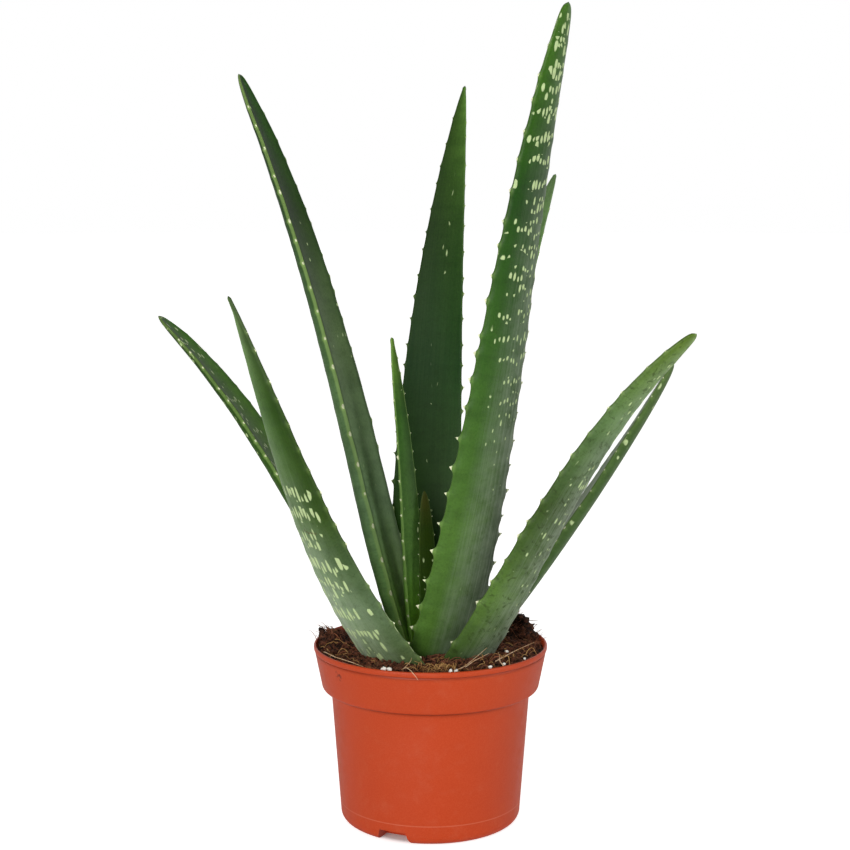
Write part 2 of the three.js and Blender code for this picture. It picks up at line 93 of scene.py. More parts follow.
# "marked" are the teeth that the photograph shows, in mm along the leaf: 1 is the edge on the
# left of someone who looks at the lower face with the tip upwards, -1 the other one.
LEAVES = {
    "leaf_heart": dict(
        azimuth=(110, 110), lean=(6, 9, 7), twist=(0, 0), length=77, width=12, neck=0,
        fullness=0.5, taper=(1.3, 0.42), seat=(1, 93), tooth=(9, 1.2),
        marked={1: (55.3, 64.6, 72.9)}),
    "leaf_young": dict(
        azimuth=(150, 104.5), lean=(7.6, 7.6, 27.8), twist=(0, 13.5), length=160, width=20,
        neck=0.2, fullness=0.57, taper=(0.63, 0.57), seat=(7, 91), tooth=(10, 1.6),
        marked={1: (14, 27, 39.3, 51.3, 69.2)}),
    "leaf_tall_left": dict(
        azimuth=(151, 154.8), lean=(16.9, 17.5, 29.2), twist=(16, -1), length=315.5, width=43,
        neck=0.35, fullness=0.62, taper=(0.77, 0.42), seat=(8.5, 86), tooth=(12.5, 2.3),
        marked={-1: (19.5, 35, 52, 70, 87, 102, 118, 132.5, 153.5, 168.5, 183),
                1: (16, 32, 46, 60, 75.5, 109, 123.5, 162, 178.5)}),
    "leaf_tall_right": dict(
        azimuth=(300, 318.2), lean=(25.8, 13.1, 18.2), twist=(-4.3, 12), length=332,
        width=36.2, neck=0, fullness=0.41, taper=(1.35, 0.33), seat=(6, 86), tooth=(13.5, 3.3),
        marked={1: (22, 34.5, 49.5, 66, 81.5, 97.5, 111.5, 126.5)}),
    "leaf_back": dict(
        azimuth=(97.3, 53.3), lean=(19.8, 15.3, 15.2), twist=(1.4, -2.5), length=309,
        width=38.5, neck=0.35, fullness=0.36, taper=(2, 0.7), seat=(15, 83), tooth=(12.5, 1.8)),
    "leaf_behind_right": dict(
        azimuth=(42, 49), lean=(19.4, 14.1, 33.4), twist=(-6.5, 10), length=264, width=22.5,
        neck=0.15, fullness=0.47, taper=(1.9, 0.55), seat=(11.5, 82), tooth=(12.5, 1.8)),
    "leaf_far_right": dict(
        azimuth=(12, 5), lean=(41.2, 35.9, 32), twist=(-9, -11.5), length=192.5, width=28.5,
        neck=0.1, fullness=0.56, taper=(1.25, 0.31), seat=(11.5, 80), tooth=(11, 1.7)),
    "leaf_low_right": dict(
        azimuth=(325, 336), lean=(36.8, 31.1, 50.5), twist=(-22, -19), length=218, width=30,
        neck=0, fullness=0.49, taper=(0.68, 0.3), seat=(14, 79), tooth=(13, 2.7),
        marked={1: (20.7, 47.3)}),
    "leaf_far_left": dict(
        azimuth=(162.2, 158.9), lean=(37.7, 34.2, 54.1), twist=(6.5, 2), length=229,
        width=33.8, neck=0.27, fullness=0.54, taper=(1.47, 0.41), seat=(12.5, 78),
        tooth=(11.5, 1.8)),
    "leaf_low_left": dict(
        azimuth=(218, 212.3), lean=(45, 24.2, 24.2), twist=(10.5, -11.5), length=223,
        width=39.8, neck=0, fullness=0.44, taper=(2.3, 0.77), seat=(13, 77), tooth=(12, 2.5),
        marked={-1: (18.8, 30, 45.3, 57.4, 69.5, 94.4, 105, 114.5, 122.6)}),
}

# How each leaf's skin looks:
# - ground: its colours from foot to tip; turn: painted light and shade, how much brighter it
#   gets towards the edge at 1, at the foot and at the tip
# - face: the face that is turned away from the front, its tint and how strong that is
# - bloom: grey wax at the foot and at the tip, and to which edge it keeps, as painted sheen
# - blemish: dark, worn blotches; scratch: where a healed one lies, in mm across and along
# - rim: how dark the upper face is along its edges, partly painted shade; margin: how pale the
#   edge itself is
# - horn: how far up a tooth its horn starts; gloss and sheen: the shine of the skin and its wax
# - spots: between which shares of the length they stand, how many, the middle of their column at
#   the foot and at the tip with its spread, in half widths, the room that each takes across and
#   along, their size at the foot and at the tip, and how far apart their bands are, in mm.
PLAIN_SKIN = dict(turn=(0, 0), scratch=(0, 0), bloom=(0, 0, 0), blemish=0.15, rim=0,
                  margin=0.05, horn=0.5, gloss=0.16, sheen=0.1, face=("lower", "#4a7030", 0.3))
PLAIN_SPOTS = dict(reach=(0.2, 1), amount=0.1, column=(0, 0, 2), room=(3, 5), size=(0.6, 0.6),
                   band=10.5)
SKINS = {
    "leaf_heart": dict(
        ground=("#1b3606", "#213c06", "#243806", "#253606", "#3b3b14"), turn=(-0.39, -0.27),
        gloss=0.05, sheen=0, spots=dict(amount=0.06, room=(2.5, 5))),
    "leaf_young": dict(
        ground=("#85ca2b", "#628e3f", "#4b6f33", "#316010", "#678c34"), turn=(-0.03, -0.75),
        rim=0.2, margin=0.35, horn=0.26, gloss=0.1, sheen=0,
        spots=dict(reach=(0.1, 0.9), column=(0.3, 0.3, 0.6), room=(3, 7), size=(0.6, 0.5))),
    "leaf_tall_left": dict(
        ground=("#84b52a", "#85a574", "#627b4c", "#203a09", "#214e06"), turn=(-0.75, 0.75),
        face=("lower", "#4a6e42", 0.6), bloom=(0.25, -0.2, 0.3), rim=0.45, margin=0.45,
        horn=0.24, gloss=0.07, sheen=0, spots=dict(amount=0.02)),
    "leaf_tall_right": dict(
        ground=("#3c5821", "#436425", "#2e5218", "#184006", "#3c6a0c"), turn=(0.75, 0.03),
        face=("upper", "#1c3a10", 0.4), bloom=(0.42, 0.08, -0.9), blemish=0.25,
        spots=dict(reach=(0.26, 1.15), amount=0.62, column=(-1.1, 0.15, 0.9),
                   room=(3.1, 5.6), size=(0.12, 1.2))),
    "leaf_back": dict(
        ground=("#214f12", "#2b4c18", "#1c3e15", "#2a441c", "#4b6e2a"), turn=(-0.29, 0.62),
        face=("lower", "#4a7030", 0.4), gloss=0.09, sheen=0,
        spots=dict(reach=(0, 1), amount=0.8, column=(0.05, 0.05, 0.13), room=(5, 13),
                   size=(0.35, 0.45))),
    "leaf_behind_right": dict(
        ground=("#5e7a42", "#628447", "#628448", "#618849", "#5b7a44"), turn=(0.2, 0.16),
        bloom=(0.1, 0.1, 0), spots=dict(reach=(0.3, 1), size=(0.6, 0.7))),
    "leaf_far_right": dict(
        ground=("#486230", "#486230", "#486230", "#4c6632", "#5a6e3c"), blemish=0.2,
        spots=dict(amount=0.12, room=(3, 6), size=(0.5, 0.7))),
    "leaf_low_right": dict(
        ground=("#1c2c10", "#4d6a2c", "#314719", "#67884f", "#73952e"), turn=(0.75, -0.44),
        face=("upper", "#1c3a10", 0.35), bloom=(0.4, 0.25, -0.7), blemish=0.95,
        spots=dict(reach=(0.15, 1), amount=0.2, column=(-0.2, -0.2, 0.8), room=(2.4, 5.5),
                   size=(0.5, 1))),
    "leaf_far_left": dict(
        ground=("#486c30", "#4e772b", "#558125", "#4e7e13", "#3e7508"), turn=(-0.08, 0.75),
        face=("lower", "#2c541c", 0.6), blemish=0.2, rim=0.3, margin=0.3, horn=0.26, gloss=0.06,
        sheen=0,
        spots=dict(reach=(0.4, 1.1), amount=0.3, column=(-0.4, -0.4, 0.7), room=(2.4, 5),
                   size=(0.5, 0.9))),
    "leaf_low_left": dict(
        ground=("#687c40", "#7a966a", "#44681b", "#3e6a0b", "#729650"), turn=(0.37, 0.75),
        face=("upper", "#1c3a10", 0.4), bloom=(0.85, -0.25, 0.7), blemish=0.35,
        scratch=(-4, 103),
        spots=dict(reach=(-0.25, 0.6), amount=0.68, column=(0.2, -0.2, 0.8), room=(3.2, 10),
                   size=(0.9, 1.05), band=14)),
}

RIM_RADIUS = 60
POT_HEIGHT = 92
WALL = 1.4
LIP_HEIGHT = 3
LIP_OUT = 0.4
LIP_EDGE = 0.6
BAND_FOOT = POT_HEIGHT - 22.4
BAND_FOOT_RADIUS = 55.6
BAND_ROUND = 2.4
HOLLOW = 2
BODY_TOP_RADIUS = 51
BODY_FOOT_RADIUS = 46.4
CORNER_RADIUS = 5
BASE_THICKNESS = 1.8
POT_SIDES = 168
NOTCH_AZIMUTHS = (245.5, 5.5, 125.5)
NOTCH_WIDTH = 14.2
NOTCH_HEIGHT = 6.3
NOTCH_DEPTH = 13
NOTCH_SLOPE = 2.2
DRAIN_HALF_WIDTH = 5
DRAIN_REACH = (2, 6)
SEAM_HEIGHT = 10.3
DIRT_PLACE = (-45.8, -36.4, 84)
# Painted shade under the lip and under the band: where it ends, how far down it reaches, how
# dark it is.
SHADE_UNDER_LIP_AND_BAND = ((POT_HEIGHT - LIP_HEIGHT, 2.6, 0.5), (BAND_FOOT, 4.0, 0.55))

SOIL_LEVEL = 88.5
SOIL_FREEBOARD = 1.2
HEAPS = ((1, -5, 2.2, 21), (44, 32, 8.5, 8), (-51, 12, 6, 7), (-18, 46, 3, 16))
# The peat's outline along the pot's wall, as radius and height, and its top as even rings.
PEAT_WALL = ((0, 3.4), (41, 3.4), (43.6, 7), (48.2, 67.5), (52.8, 72), (57.8, 88))
PEAT_TOP = 90
PEAT_RINGS = 52
PEAT_RING_STEP = 1.1
PEAT_SIDES = 300
WALL_GAP = 0.3
CLEAR_OF_WALL = 56.5
FIBRES_END = 57
CRUMB_SIZES = (0.5, 0.6, 0.8, 0.8, 1.1, 1.5, 1.9)
FIBRE_RADII = (0.13, 0.18, 0.24, 0.34)
CHIPS = 70
GOLDEN_EVERY = 9
TUFT_HAIRS = 22

# What the photograph shows lying on the soil: lumps and grains as x, y, z and radius, and roots
# as the points that they pass through, one of them over the rim.
SEEN_CLODS = ((-55.4, 7.5, 93, 2.8), (-56.2, 8.6, 95.3, 2), (48, 28, 97.5, 3.4), (52, 17, 96, 3),
              (44, 34, 96.5, 3), (50, 23, 97.5, 2.4), (54.5, 9, 93.5, 2.4))
SEEN_GRAINS = ((-22.8, -52, 91.8, 1.5), (-20, -52.8, 91.7, 1.3), (9.6, -55.4, 91.7, 1.2),
               (12.2, -55, 91.7, 1), (29, -48.7, 92, 1.1), (36, -43.3, 92, 1),
               (46.7, -32.8, 92, 0.7), (38.3, -23.7, 93.3, 0.9))
SEEN_ROOTS = (
    ((-54, -18, 91.5), (-52, -25, 92.8), (-47, -34, 93), (-41, -41, 93), (-33, -48, 92)),
    ((-14, -50, 91), (-12, -54, 93), (-10, -58.6, 93.1), (-7.8, -60.8, 91.2), (-6.1, -61, 88.8)),
    ((10.7, -54.5, 91.5), (15.7, -50.7, 92.4), (21.8, -39.4, 94), (28, -31, 97)),
    ((17, -47, 91.5), (21, -42, 93), (26, -36, 94), (29, -31.5, 94.4)),
    ((32, -38, 92), (42.2, -25.7, 94), (52.5, -14.5, 95.6)),
    ((36, -46, 91.2), (34, -43, 93.4), (34, -38, 94.6), (33.5, -31, 95)),
    ((-13, -49, 91.5), (-10, -44, 93.4), (-9.5, -39, 94)))
# Where tufts of hairs stand, and where nests of golden fibres lie, with how many each has.
TUFTS = ((48, 27), (52, 18), (54, 8), (44, 34), (-53, 9))
NESTS = ((1, -44, 20), (7, -44, 16), (-6, -42, 5), (44, -18, 6), (36, -34, 6), (-46, -20, 4))

FLOOR_LEVEL = -0.4
FLOOR_RADIUS = 2600
FLOOR_CURVE = 400
# Each lamp's place and size, in metres as the camera's place is, and its power in watts.
LAMPS = {"key_light": ((-0.9, -2.2, 0.7), 1.6, 46), "fill_light": ((2.1, -0.9, 0.7), 1.4, 20)}
LAMP_AIM = (0, 0, 0.18)
CAMERA_PLACE = (-0.0028, -0.870, 0.3124)
CAMERA_PITCH = 7.05
CAMERA_LENS = 73.17


# ---- settings --------------------------------------------------------------------------------

def paint(code):
    """A colour from its #rrggbb code, as the renderer's linear values."""
    channels = [int(code[i:i + 2], 16) / 255 for i in (1, 3, 5)]
    linear = [c / 12.92 if c <= 0.04045 else ((c + 0.055) / 1.055) ** 2.4 for c in channels]
    return (*linear, 1.0)


def colour_setting(label, about, code):
    return bpy.props.FloatVectorProperty(
        name=label, description=about, subtype="COLOR", size=4, min=0, max=1,
        default=paint(code))


class AloePotSettings(bpy.types.PropertyGroup):
    colour: colour_setting("Plastic", "Colour of the pot's plastic", "#b93e15")
    shine: bpy.props.FloatProperty(
        name="Roughness", description="How matte the plastic is", default=0.42, min=0, max=1,
        subtype="FACTOR")


class AloeLeafSettings(bpy.types.PropertyGroup):
    spot_colour: colour_setting("Spots", "Colour of the pale spots", "#c6da9e")
    tooth_colour: colour_setting("Teeth", "Colour of the teeth", "#e8ecc4")
    margin_colour: colour_setting("Margin", "Colour of the leaves' thin edges", "#98b868")
    bloom_colour: colour_setting("Bloom", "Colour of the grey wax", "#a9b8a0")
    tooth_size: bpy.props.FloatProperty(
        name="Tooth size", description="Size of the teeth, as a share of the drawn one",
        default=1.0, min=0.3, max=1.4, subtype="FACTOR")


class AloeSoilSettings(bpy.types.PropertyGroup):
    colour: colour_setting("Peat", "Colour of the damp peat", "#663a26")
    crumbs: bpy.props.IntProperty(
        name="Crumbs", description="How many lumps of peat lie on top", default=1700, min=0)
    fibres: bpy.props.IntProperty(
        name="Fibres", description="How many root and coir fibres lie on top", default=900,
        min=0)
    perlite: bpy.props.IntProperty(
        name="Perlite", description="How many small white grains lie about", default=16, min=0)


class AloeStageSettings(bpy.types.PropertyGroup):
    light: bpy.props.FloatProperty(
        name="Light", description="Strength of the studio light", default=1.0, min=0)
    floor: colour_setting("Floor", "Colour of the studio floor", "#f4f4f2")


# ---- meshes ----------------------------------------------------------------------------------

def new_object(name, data):
    made = bpy.data.objects.new(name, data)
    bpy.context.scene.collection.objects.link(made)
    return made


def new_mesh(name, bm):
    """A bmesh as a mesh. The bmesh is spent."""
    mesh = bpy.data.meshes.new(name)
    bm.to_mesh(mesh)
    bm.free()
    return mesh


def finish_mesh(name, bm, material, sharp=None):
    """A bmesh as an object at the origin, with closed, outward faces."""
    bmesh.ops.recalc_face_normals(bm, faces=bm.faces[:])
    for face in bm.faces:
        face.smooth = True
    mesh = new_mesh(name, bm)
    if sharp is not None:
        mesh.set_sharp_from_angle(angle=math.radians(sharp))
    mesh.materials.append(material)
    return new_object(name, mesh)


def attach(piece, slot, *nodes):
    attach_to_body(piece, "root")
    if nodes:
        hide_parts(*nodes)


def mix(first, last, share):
    return first + (last - first) * share


# ---- shader parts ----------------------------------------------------------------------------

DEEP_GREEN = "#14300c"
MOTTLE_GREEN = "#12260a"
VEIN_GREEN = "#8cab62"
WORN_GREEN = "#26300f"
SCRATCH_BROWN = "#4a3208"
WAX_GLOW = "#c8d8c4"

# A node group's sockets are plain values, apart from these.
SOCKET_KINDS = {"Place": "Vector", **dict.fromkeys(
    ("Ground", "Face tint", "Spot", "Wax", "Margin", "Horn", "Colour"), "Color")}


class Drawing:
    """A node tree being drawn. Each call adds a node and gives back the socket it puts out."""

    def __init__(self, tree):
        self.tree = tree

    def give(self, socket, value):
        """Joins a socket to another, or sets it to a plain value."""
        if isinstance(value, bpy.types.NodeSocket):
            self.tree.links.new(value, socket)
        else:
            socket.default_value = value

    def feed(self, node, **values):
        """Gives values to a node's inputs by their labels, with _ for a space."""
        for key, value in values.items():
            self.give(node.inputs[key.replace("_", " ")], value)

    def node(self, kind, values, put_out=0, **settings):
        """A node with its values. With put_out None, all that it puts out is given back."""
        node = self.tree.nodes.new("ShaderNode" + kind)
        for key, value in settings.items():
            setattr(node, key, value)
        for key, value in values.items():
            self.give(node.inputs[key], value)
        return node.outputs if put_out is None else node.outputs[put_out]

    def maths(self, operation, first, second=0.0):
        return self.node("Math", {0: first, 1: second}, operation=operation)

    def times(self, first, second):
        return self.maths("MULTIPLY", first, second)

    def plus(self, first, second):
        return self.maths("ADD", first, second)

    def minus(self, first, second):
        return self.maths("SUBTRACT", first, second)

    def over(self, first, second):
        return self.maths("DIVIDE", first, second)

    def far(self, first, second):
        """How far a value is from another."""
        return self.maths("ABSOLUTE", self.minus(first, second))

    def blend(self, share, first, second, mode="MIX"):
        return self.node("Mix", {0: share, 6: first, 7: second}, 2, data_type="RGBA",
                         blend_type=mode)

    def tint(self, colour, share, code):
        return self.blend(share, colour, paint(code))

    def between(self, share, first, second):
        return self.node("Mix", {0: share, 2: first, 3: second}, data_type="FLOAT")

    def rise(self, value, low, high, start=0.0, end=1.0):
        """A soft step from start to end while the value goes from low to high."""
        return self.node("MapRange", {0: value, 1: low, 2: high, 3: start, 4: end},
                         interpolation_type="SMOOTHSTEP")

    def fall(self, value, low, high, start=1.0):
        return self.rise(value, low, high, start, 0.0)

    def vector(self, x, y, z=0.0):
        return self.node("CombineXYZ", {0: x, 1: y, 2: z})

    def noise(self, place, scale, detail=3.0, roughness=0.55, distortion=0.0):
        return self.node("TexNoise", {
            "Vector": place, "Scale": scale, "Detail": detail, "Roughness": roughness,
            "Distortion": distortion})

    def stretched(self, given, across, along, detail):
        """Noise on a leaf's skin, with its own scale across the leaf and along it."""
        return self.noise(self.vector(
            self.times(given["Across"], across), self.times(given["Along"], along),
            given["Seed"]), 1.0, detail)

    def cells(self, place, put_out):
        """Unit cells of a flat, uneven grid: distance to each one's middle, or its colour."""
        return self.node("TexVoronoi", {"Vector": place, "Scale": 1.0, "Randomness": 0.6},
                         put_out, voronoi_dimensions="2D")

    def ramp(self, value, colours):
        """Runs smoothly through evenly spaced colours as the value goes from 0 to 1."""
        node = self.tree.nodes.new("ShaderNodeValToRGB")
        stops = node.color_ramp.elements
        for _ in colours[2:]:
            stops.new(0.5)
        for i, code in enumerate(colours):
            stops[i].position = i / (len(colours) - 1)
            stops[i].color = paint(code)
        self.give(node.inputs[0], value)
        return node.outputs[0]

    def channels(self, colour):
        return self.node("SeparateColor", {0: colour}, None)

    def axes(self, place):
        return self.node("SeparateXYZ", {0: place}, None)

    def attribute(self, name):
        return self.node("Attribute", {}, "Fac", attribute_name=name)

    def place(self):
        return self.node("TexCoord", {}, "Object")

    def seen(self):
        """1 for what the camera sees directly."""
        return self.node("LightPath", {}, "Is Camera Ray")

    def bump(self, height, distance, strength=1.0):
        return self.node("Bump", {"Height": height, "Distance": distance,
                                  "Strength": strength})

    def group(self, tree, **values):
        """Places a node group. The values go by its labels, with _ for a space."""
        node = self.tree.nodes.new("ShaderNodeGroup")
        node.node_tree = tree
        self.feed(node, **values)
        return node.outputs


def node_group(name, takes, gives=("Mask",)):
    """Makes a function that draws nodes into one that gives the node group, drawn once."""
    def wrap(draw):
        def drawn():
            tree = bpy.data.node_groups.get(name)
            if tree is None:
                tree = bpy.data.node_groups.new(name, "ShaderNodeTree")
                for way, labels in (("INPUT", takes), ("OUTPUT", gives)):
                    for label in labels:
                        kind = "NodeSocket" + SOCKET_KINDS.get(label, "Float")
                        tree.interface.new_socket(name=label, in_out=way, socket_type=kind)
                source = tree.nodes.new("NodeGroupInput").outputs
                target = tree.nodes.new("NodeGroupOutput").inputs
                nodes = Drawing(tree)
                for label, value in draw(nodes, source).items():
                    nodes.give(target[label], value)
            return tree
        return drawn
    return wrap


def new_material(name, **values):
    """A material with plain values set on its surface shader."""
    material = bpy.data.materials.new(name)
    material.use_nodes = True
    surface = material.node_tree.nodes["Principled BSDF"]
    nodes = Drawing(material.node_tree)
    nodes.feed(surface, **values)
    return material, nodes, surface


@node_group("Fine speckle", ("Place", "Scale"), ("Mask", "Height"))
def fine_speckle(nodes, given):
    """Pin-sized grains: how dark each is, and how far the surface stands out there."""
    grain = nodes.noise(given["Place"], given["Scale"], 2.0, 0.6)
    return {"Mask": nodes.rise(grain, 0.35, 0.7), "Height": grain}


@node_group("Pale spots", ("Across", "Along", "Seed", "Density", "Room across", "Room along",
                           "Size", "Band"))
def pale_spots(nodes, given):
    """Pale oval spots in loose bands across a leaf. Room is what each one has, in metres."""
    across, along, seed = given["Across"], given["Along"], given["Seed"]
    place = nodes.vector(across, along, seed)
    wavy = nodes.plus(along, nodes.times(nodes.noise(place, 90.0, 1.0), 0.008))
    band = nodes.maths("SINE", nodes.over(nodes.times(wavy, 2 * math.pi), given["Band"]))
    cell = nodes.vector(
        nodes.plus(nodes.over(across, given["Room across"]), nodes.times(seed, 7.3)),
        nodes.plus(nodes.over(wavy, given["Room along"]), nodes.times(seed, 3.1)))
    chance, own_size, _ = nodes.channels(nodes.cells(cell, "Color"))
    level = nodes.times(given["Density"], nodes.plus(1.0, nodes.times(band, 0.9)))
    chosen = nodes.rise(nodes.minus(level, chance), -0.02, 0.02)
    ragged = nodes.times(nodes.noise(place, 1300.0, 2.0), 0.08)
    edge = nodes.plus(nodes.cells(cell, "Distance"), ragged)
    brink = nodes.times(nodes.between(own_size, 0.3, 0.48), given["Size"])
    inside = nodes.fall(nodes.minus(edge, brink), -0.08, 0.06)
    return {"Mask": nodes.times(inside, chosen)}


@node_group("Lengthwise lines", ("Across", "Along", "Seed"))
def lengthwise_lines(nodes, given):
    """Fine lines along a leaf, where its veins show through the skin."""
    fine = nodes.stretched(given, 1500.0, 22.0, 3.0)
    wide = nodes.stretched(given, 380.0, 9.0, 2.0)
    return {"Mask": nodes.rise(nodes.between(0.4, fine, wide), 0.36, 0.64)}


@node_group("Healed scratch", ("Across", "Along", "At across", "At along"))
def healed_scratch(nodes, given):
    """A thin brown line that wanders across a leaf. It stays away where its place is 0."""
    aside = nodes.minus(given["Across"], given["At across"])
    wander = nodes.noise(nodes.vector(nodes.times(aside, 330.0), 0.0), 1.0, 4.0, 0.7)
    line = nodes.plus(given["At along"], nodes.times(nodes.minus(wander, 0.5), 0.011))
    thin = nodes.fall(nodes.far(given["Along"], line), 0.0002, 0.0005)
    reach = nodes.fall(nodes.maths("ABSOLUTE", aside), 0.005, 0.008)
    there = nodes.rise(given["At along"], 0.001, 0.002)
    return {"Mask": nodes.times(thin, nodes.times(reach, there))}


@node_group("Aloe skin", (
    "Along", "Across", "Span", "Edge", "Tooth", "Share", "Seed", "Face", "Turn", "Rim",
    "Spots", "Spots from", "Spots to", "Column", "Column spread", "Room across", "Room along",
    "Spot size", "Band", "Scratch across", "Scratch along", "Bloom", "Bloom side", "Blemish",
    "Paleness", "Horn from", "Ground", "Face tint", "Spot", "Wax", "Margin", "Horn"),
    ("Colour", "Roughness", "Height"))
def aloe_skin(nodes, given):
    """The whole skin of a leaf, from its colours and where each point lies on the leaf."""
    where = {label: given[label] for label in ("Across", "Along", "Seed")}
    share, span, edge = given["Share"], given["Span"], given["Edge"]
    place = nodes.vector(given["Across"], given["Along"], nodes.times(given["Seed"], 0.31))

    colour = nodes.blend(given["Face"], given["Ground"], given["Face tint"])
    # Painted light and shade: one edge of the leaf is made lighter and the other darker.
    turn = nodes.plus(1.0, nodes.times(given["Turn"], span))
    colour = nodes.blend(1.0, colour, turn, "MULTIPLY")
    clouds = nodes.rise(nodes.noise(place, 60.0, 3.0), 0.35, 0.7, end=0.2)
    colour = nodes.tint(colour, clouds, DEEP_GREEN)
    girth = nodes.rise(nodes.stretched(given, 40.0, 160.0, 3.0), 0.4, 0.7, end=0.2)
    colour = nodes.tint(colour, girth, DEEP_GREEN)
    lines = nodes.group(lengthwise_lines(), **where)["Mask"]
    colour = nodes.tint(colour, nodes.times(lines, 0.02), VEIN_GREEN)
    mottle = nodes.noise(place, 900.0, 3.0, 0.65)
    colour = nodes.tint(colour, nodes.rise(mottle, 0.4, 0.75, end=0.25), MOTTLE_GREEN)
    # Partly painted shade, where the channelled upper face turns at its edges, partly its darker
    # green there.
    rim = nodes.times(nodes.fall(edge, 0.0012, 0.0045), given["Rim"])
    colour = nodes.tint(colour, rim, DEEP_GREEN)

    # Real grey wax, and painted sheen where it is pushed towards one edge.
    sheen_side = nodes.times(given["Bloom side"], nodes.times(span, 1.6))
    wax_and_sheen = nodes.plus(given["Bloom"], nodes.times(given["Bloom"], sheen_side))
    patches = nodes.rise(nodes.noise(place, 110.0, 4.0, 0.6), 0.25, 0.7, 0.2)
    wax_and_sheen = nodes.times(wax_and_sheen, nodes.between(0.45, patches, lines))
    wax_and_sheen = nodes.maths("MINIMUM", nodes.maths("MAXIMUM", wax_and_sheen, 0.0), 0.85)
    colour = nodes.blend(wax_and_sheen, colour, given["Wax"])

    start, end = given["Spots from"], given["Spots to"]
    reach = nodes.times(nodes.rise(share, start, nodes.plus(start, 0.2)),
                        nodes.fall(share, nodes.minus(end, 0.06), end))
    off = nodes.over(nodes.minus(span, given["Column"]), given["Column spread"])
    column = nodes.maths("EXPONENT", nodes.times(nodes.times(off, off), -1.0))
    spots = nodes.group(
        pale_spots(), Density=nodes.times(nodes.times(given["Spots"], column), reach),
        Room_across=given["Room across"], Room_along=given["Room along"],
        Size=given["Spot size"], Band=given["Band"], **where)["Mask"]
    colour = nodes.blend(nodes.times(spots, 0.85), colour, given["Spot"])

    worn = nodes.rise(nodes.noise(place, 260.0, 5.0, 0.65, 0.6), 0.52, 0.66)
    worn = nodes.times(worn, given["Blemish"])
    colour = nodes.tint(colour, nodes.times(worn, 0.6), WORN_GREEN)
    scratch = nodes.group(
        healed_scratch(), Across=given["Across"], Along=given["Along"],
        At_across=given["Scratch across"], At_along=given["Scratch along"])["Mask"]
    colour = nodes.tint(colour, nodes.times(scratch, 0.75), SCRATCH_BROWN)

    pale, horn_from = given["Paleness"], given["Horn from"]
    brink = nodes.times(nodes.fall(edge, 0.0001, 0.0006), pale)
    colour = nodes.blend(brink, colour, given["Margin"])
    halo = nodes.times(nodes.rise(given["Tooth"], 0.03, HALO), nodes.plus(0.12, pale))
    colour = nodes.blend(halo, colour, given["Margin"])
    horn = nodes.rise(given["Tooth"], horn_from, nodes.plus(horn_from, 0.12))
    colour = nodes.blend(horn, colour, given["Horn"])

    rough = nodes.plus(0.36, nodes.times(mottle, 0.12))
    height = nodes.plus(nodes.times(lines, 0.06), nodes.times(mottle, 0.6))
    rough = nodes.plus(nodes.plus(rough, nodes.times(wax_and_sheen, 0.16)), nodes.times(worn, 0.15))
    height = nodes.plus(height, nodes.times(spots, 0.3))
    height = nodes.minus(height, nodes.times(worn, 0.3))
    return {"Colour": colour, "Roughness": rough, "Height": height}


def leaf_material(name, settings):
    skin = {**PLAIN_SKIN, **SKINS[name]}
    spots = {**PLAIN_SPOTS, **skin["spots"]}
    material, nodes, surface = new_material(
        "Skin of " + name, Specular_IOR_Level=skin["gloss"], Subsurface_Weight=0.05,
        Subsurface_Scale=0.002, Subsurface_Radius=(0.5, 1.0, 0.25), Sheen_Weight=skin["sheen"],
        Sheen_Roughness=0.35, Sheen_Tint=paint(WAX_GLOW))
    where = {label: nodes.attribute(label.lower())
             for label in ("Along", "Across", "Span", "Edge", "Tooth")}
    share = nodes.over(where["Along"], LEAVES[name]["length"] * MM)
    under = nodes.attribute("under")
    upper = nodes.minus(1.0, under)
    face, tint, strength = skin["face"]
    out = nodes.group(
        aloe_skin(), Share=share, Ground=nodes.ramp(share, skin["ground"]),
        Seed=nodes.plus(1.7 * list(LEAVES).index(name), nodes.times(under, 0.37)),
        Face=nodes.times(under if face == "lower" else upper, strength),
        Face_tint=paint(tint), Turn=nodes.between(share, *skin["turn"]),
        Rim=nodes.times(upper, skin["rim"]), Spots=spots["amount"],
        Spots_from=spots["reach"][0], Spots_to=spots["reach"][1],
        Column=nodes.between(share, *spots["column"][:2]), Column_spread=spots["column"][2],
        Room_across=spots["room"][0] * MM, Room_along=spots["room"][1] * MM,
        Spot_size=nodes.between(share, *spots["size"]), Band=spots["band"] * MM,
        Scratch_across=skin["scratch"][0] * MM, Scratch_along=skin["scratch"][1] * MM,
        Bloom=nodes.between(share, *skin["bloom"][:2]), Bloom_side=skin["bloom"][2],
        Blemish=skin["blemish"], Paleness=skin["margin"], Horn_from=skin["horn"],
        Spot=settings.spot_colour, Wax=settings.bloom_colour, Margin=settings.margin_colour,
        Horn=settings.tooth_colour, **where)
    nodes.feed(surface, Base_Color=out["Colour"], Roughness=out["Roughness"],
               Normal=nodes.bump(out["Height"], 0.00012))
    return material


# ---- leaves ----------------------------------------------------------------------------------

def through(values, s):
    """A smooth value that passes through three given ones at s = 0, 0.5 and 1."""
    start, middle, end = values
    return start * (1 - s) * (1 - 2 * s) + middle * 4 * s * (1 - s) + end * s * (2 * s - 1)


def directions(leaf, s):
    """Unit vectors along the leaf, out of its upper face, and across it."""
    azimuth = math.radians(mix(*leaf["azimuth"], s))
    lean = math.radians(through(leaf["lean"], s))
    outward = Vector((math.cos(azimuth), math.sin(azimuth), 0))
    along = outward * math.sin(lean) + Vector((0, 0, math.cos(lean)))
    up = outward * -math.cos(lean) + Vector((0, 0, math.sin(lean)))
    up.rotate(Quaternion(along, math.radians(mix(*leaf["twist"], s))))
    return along, up, along.cross(up)


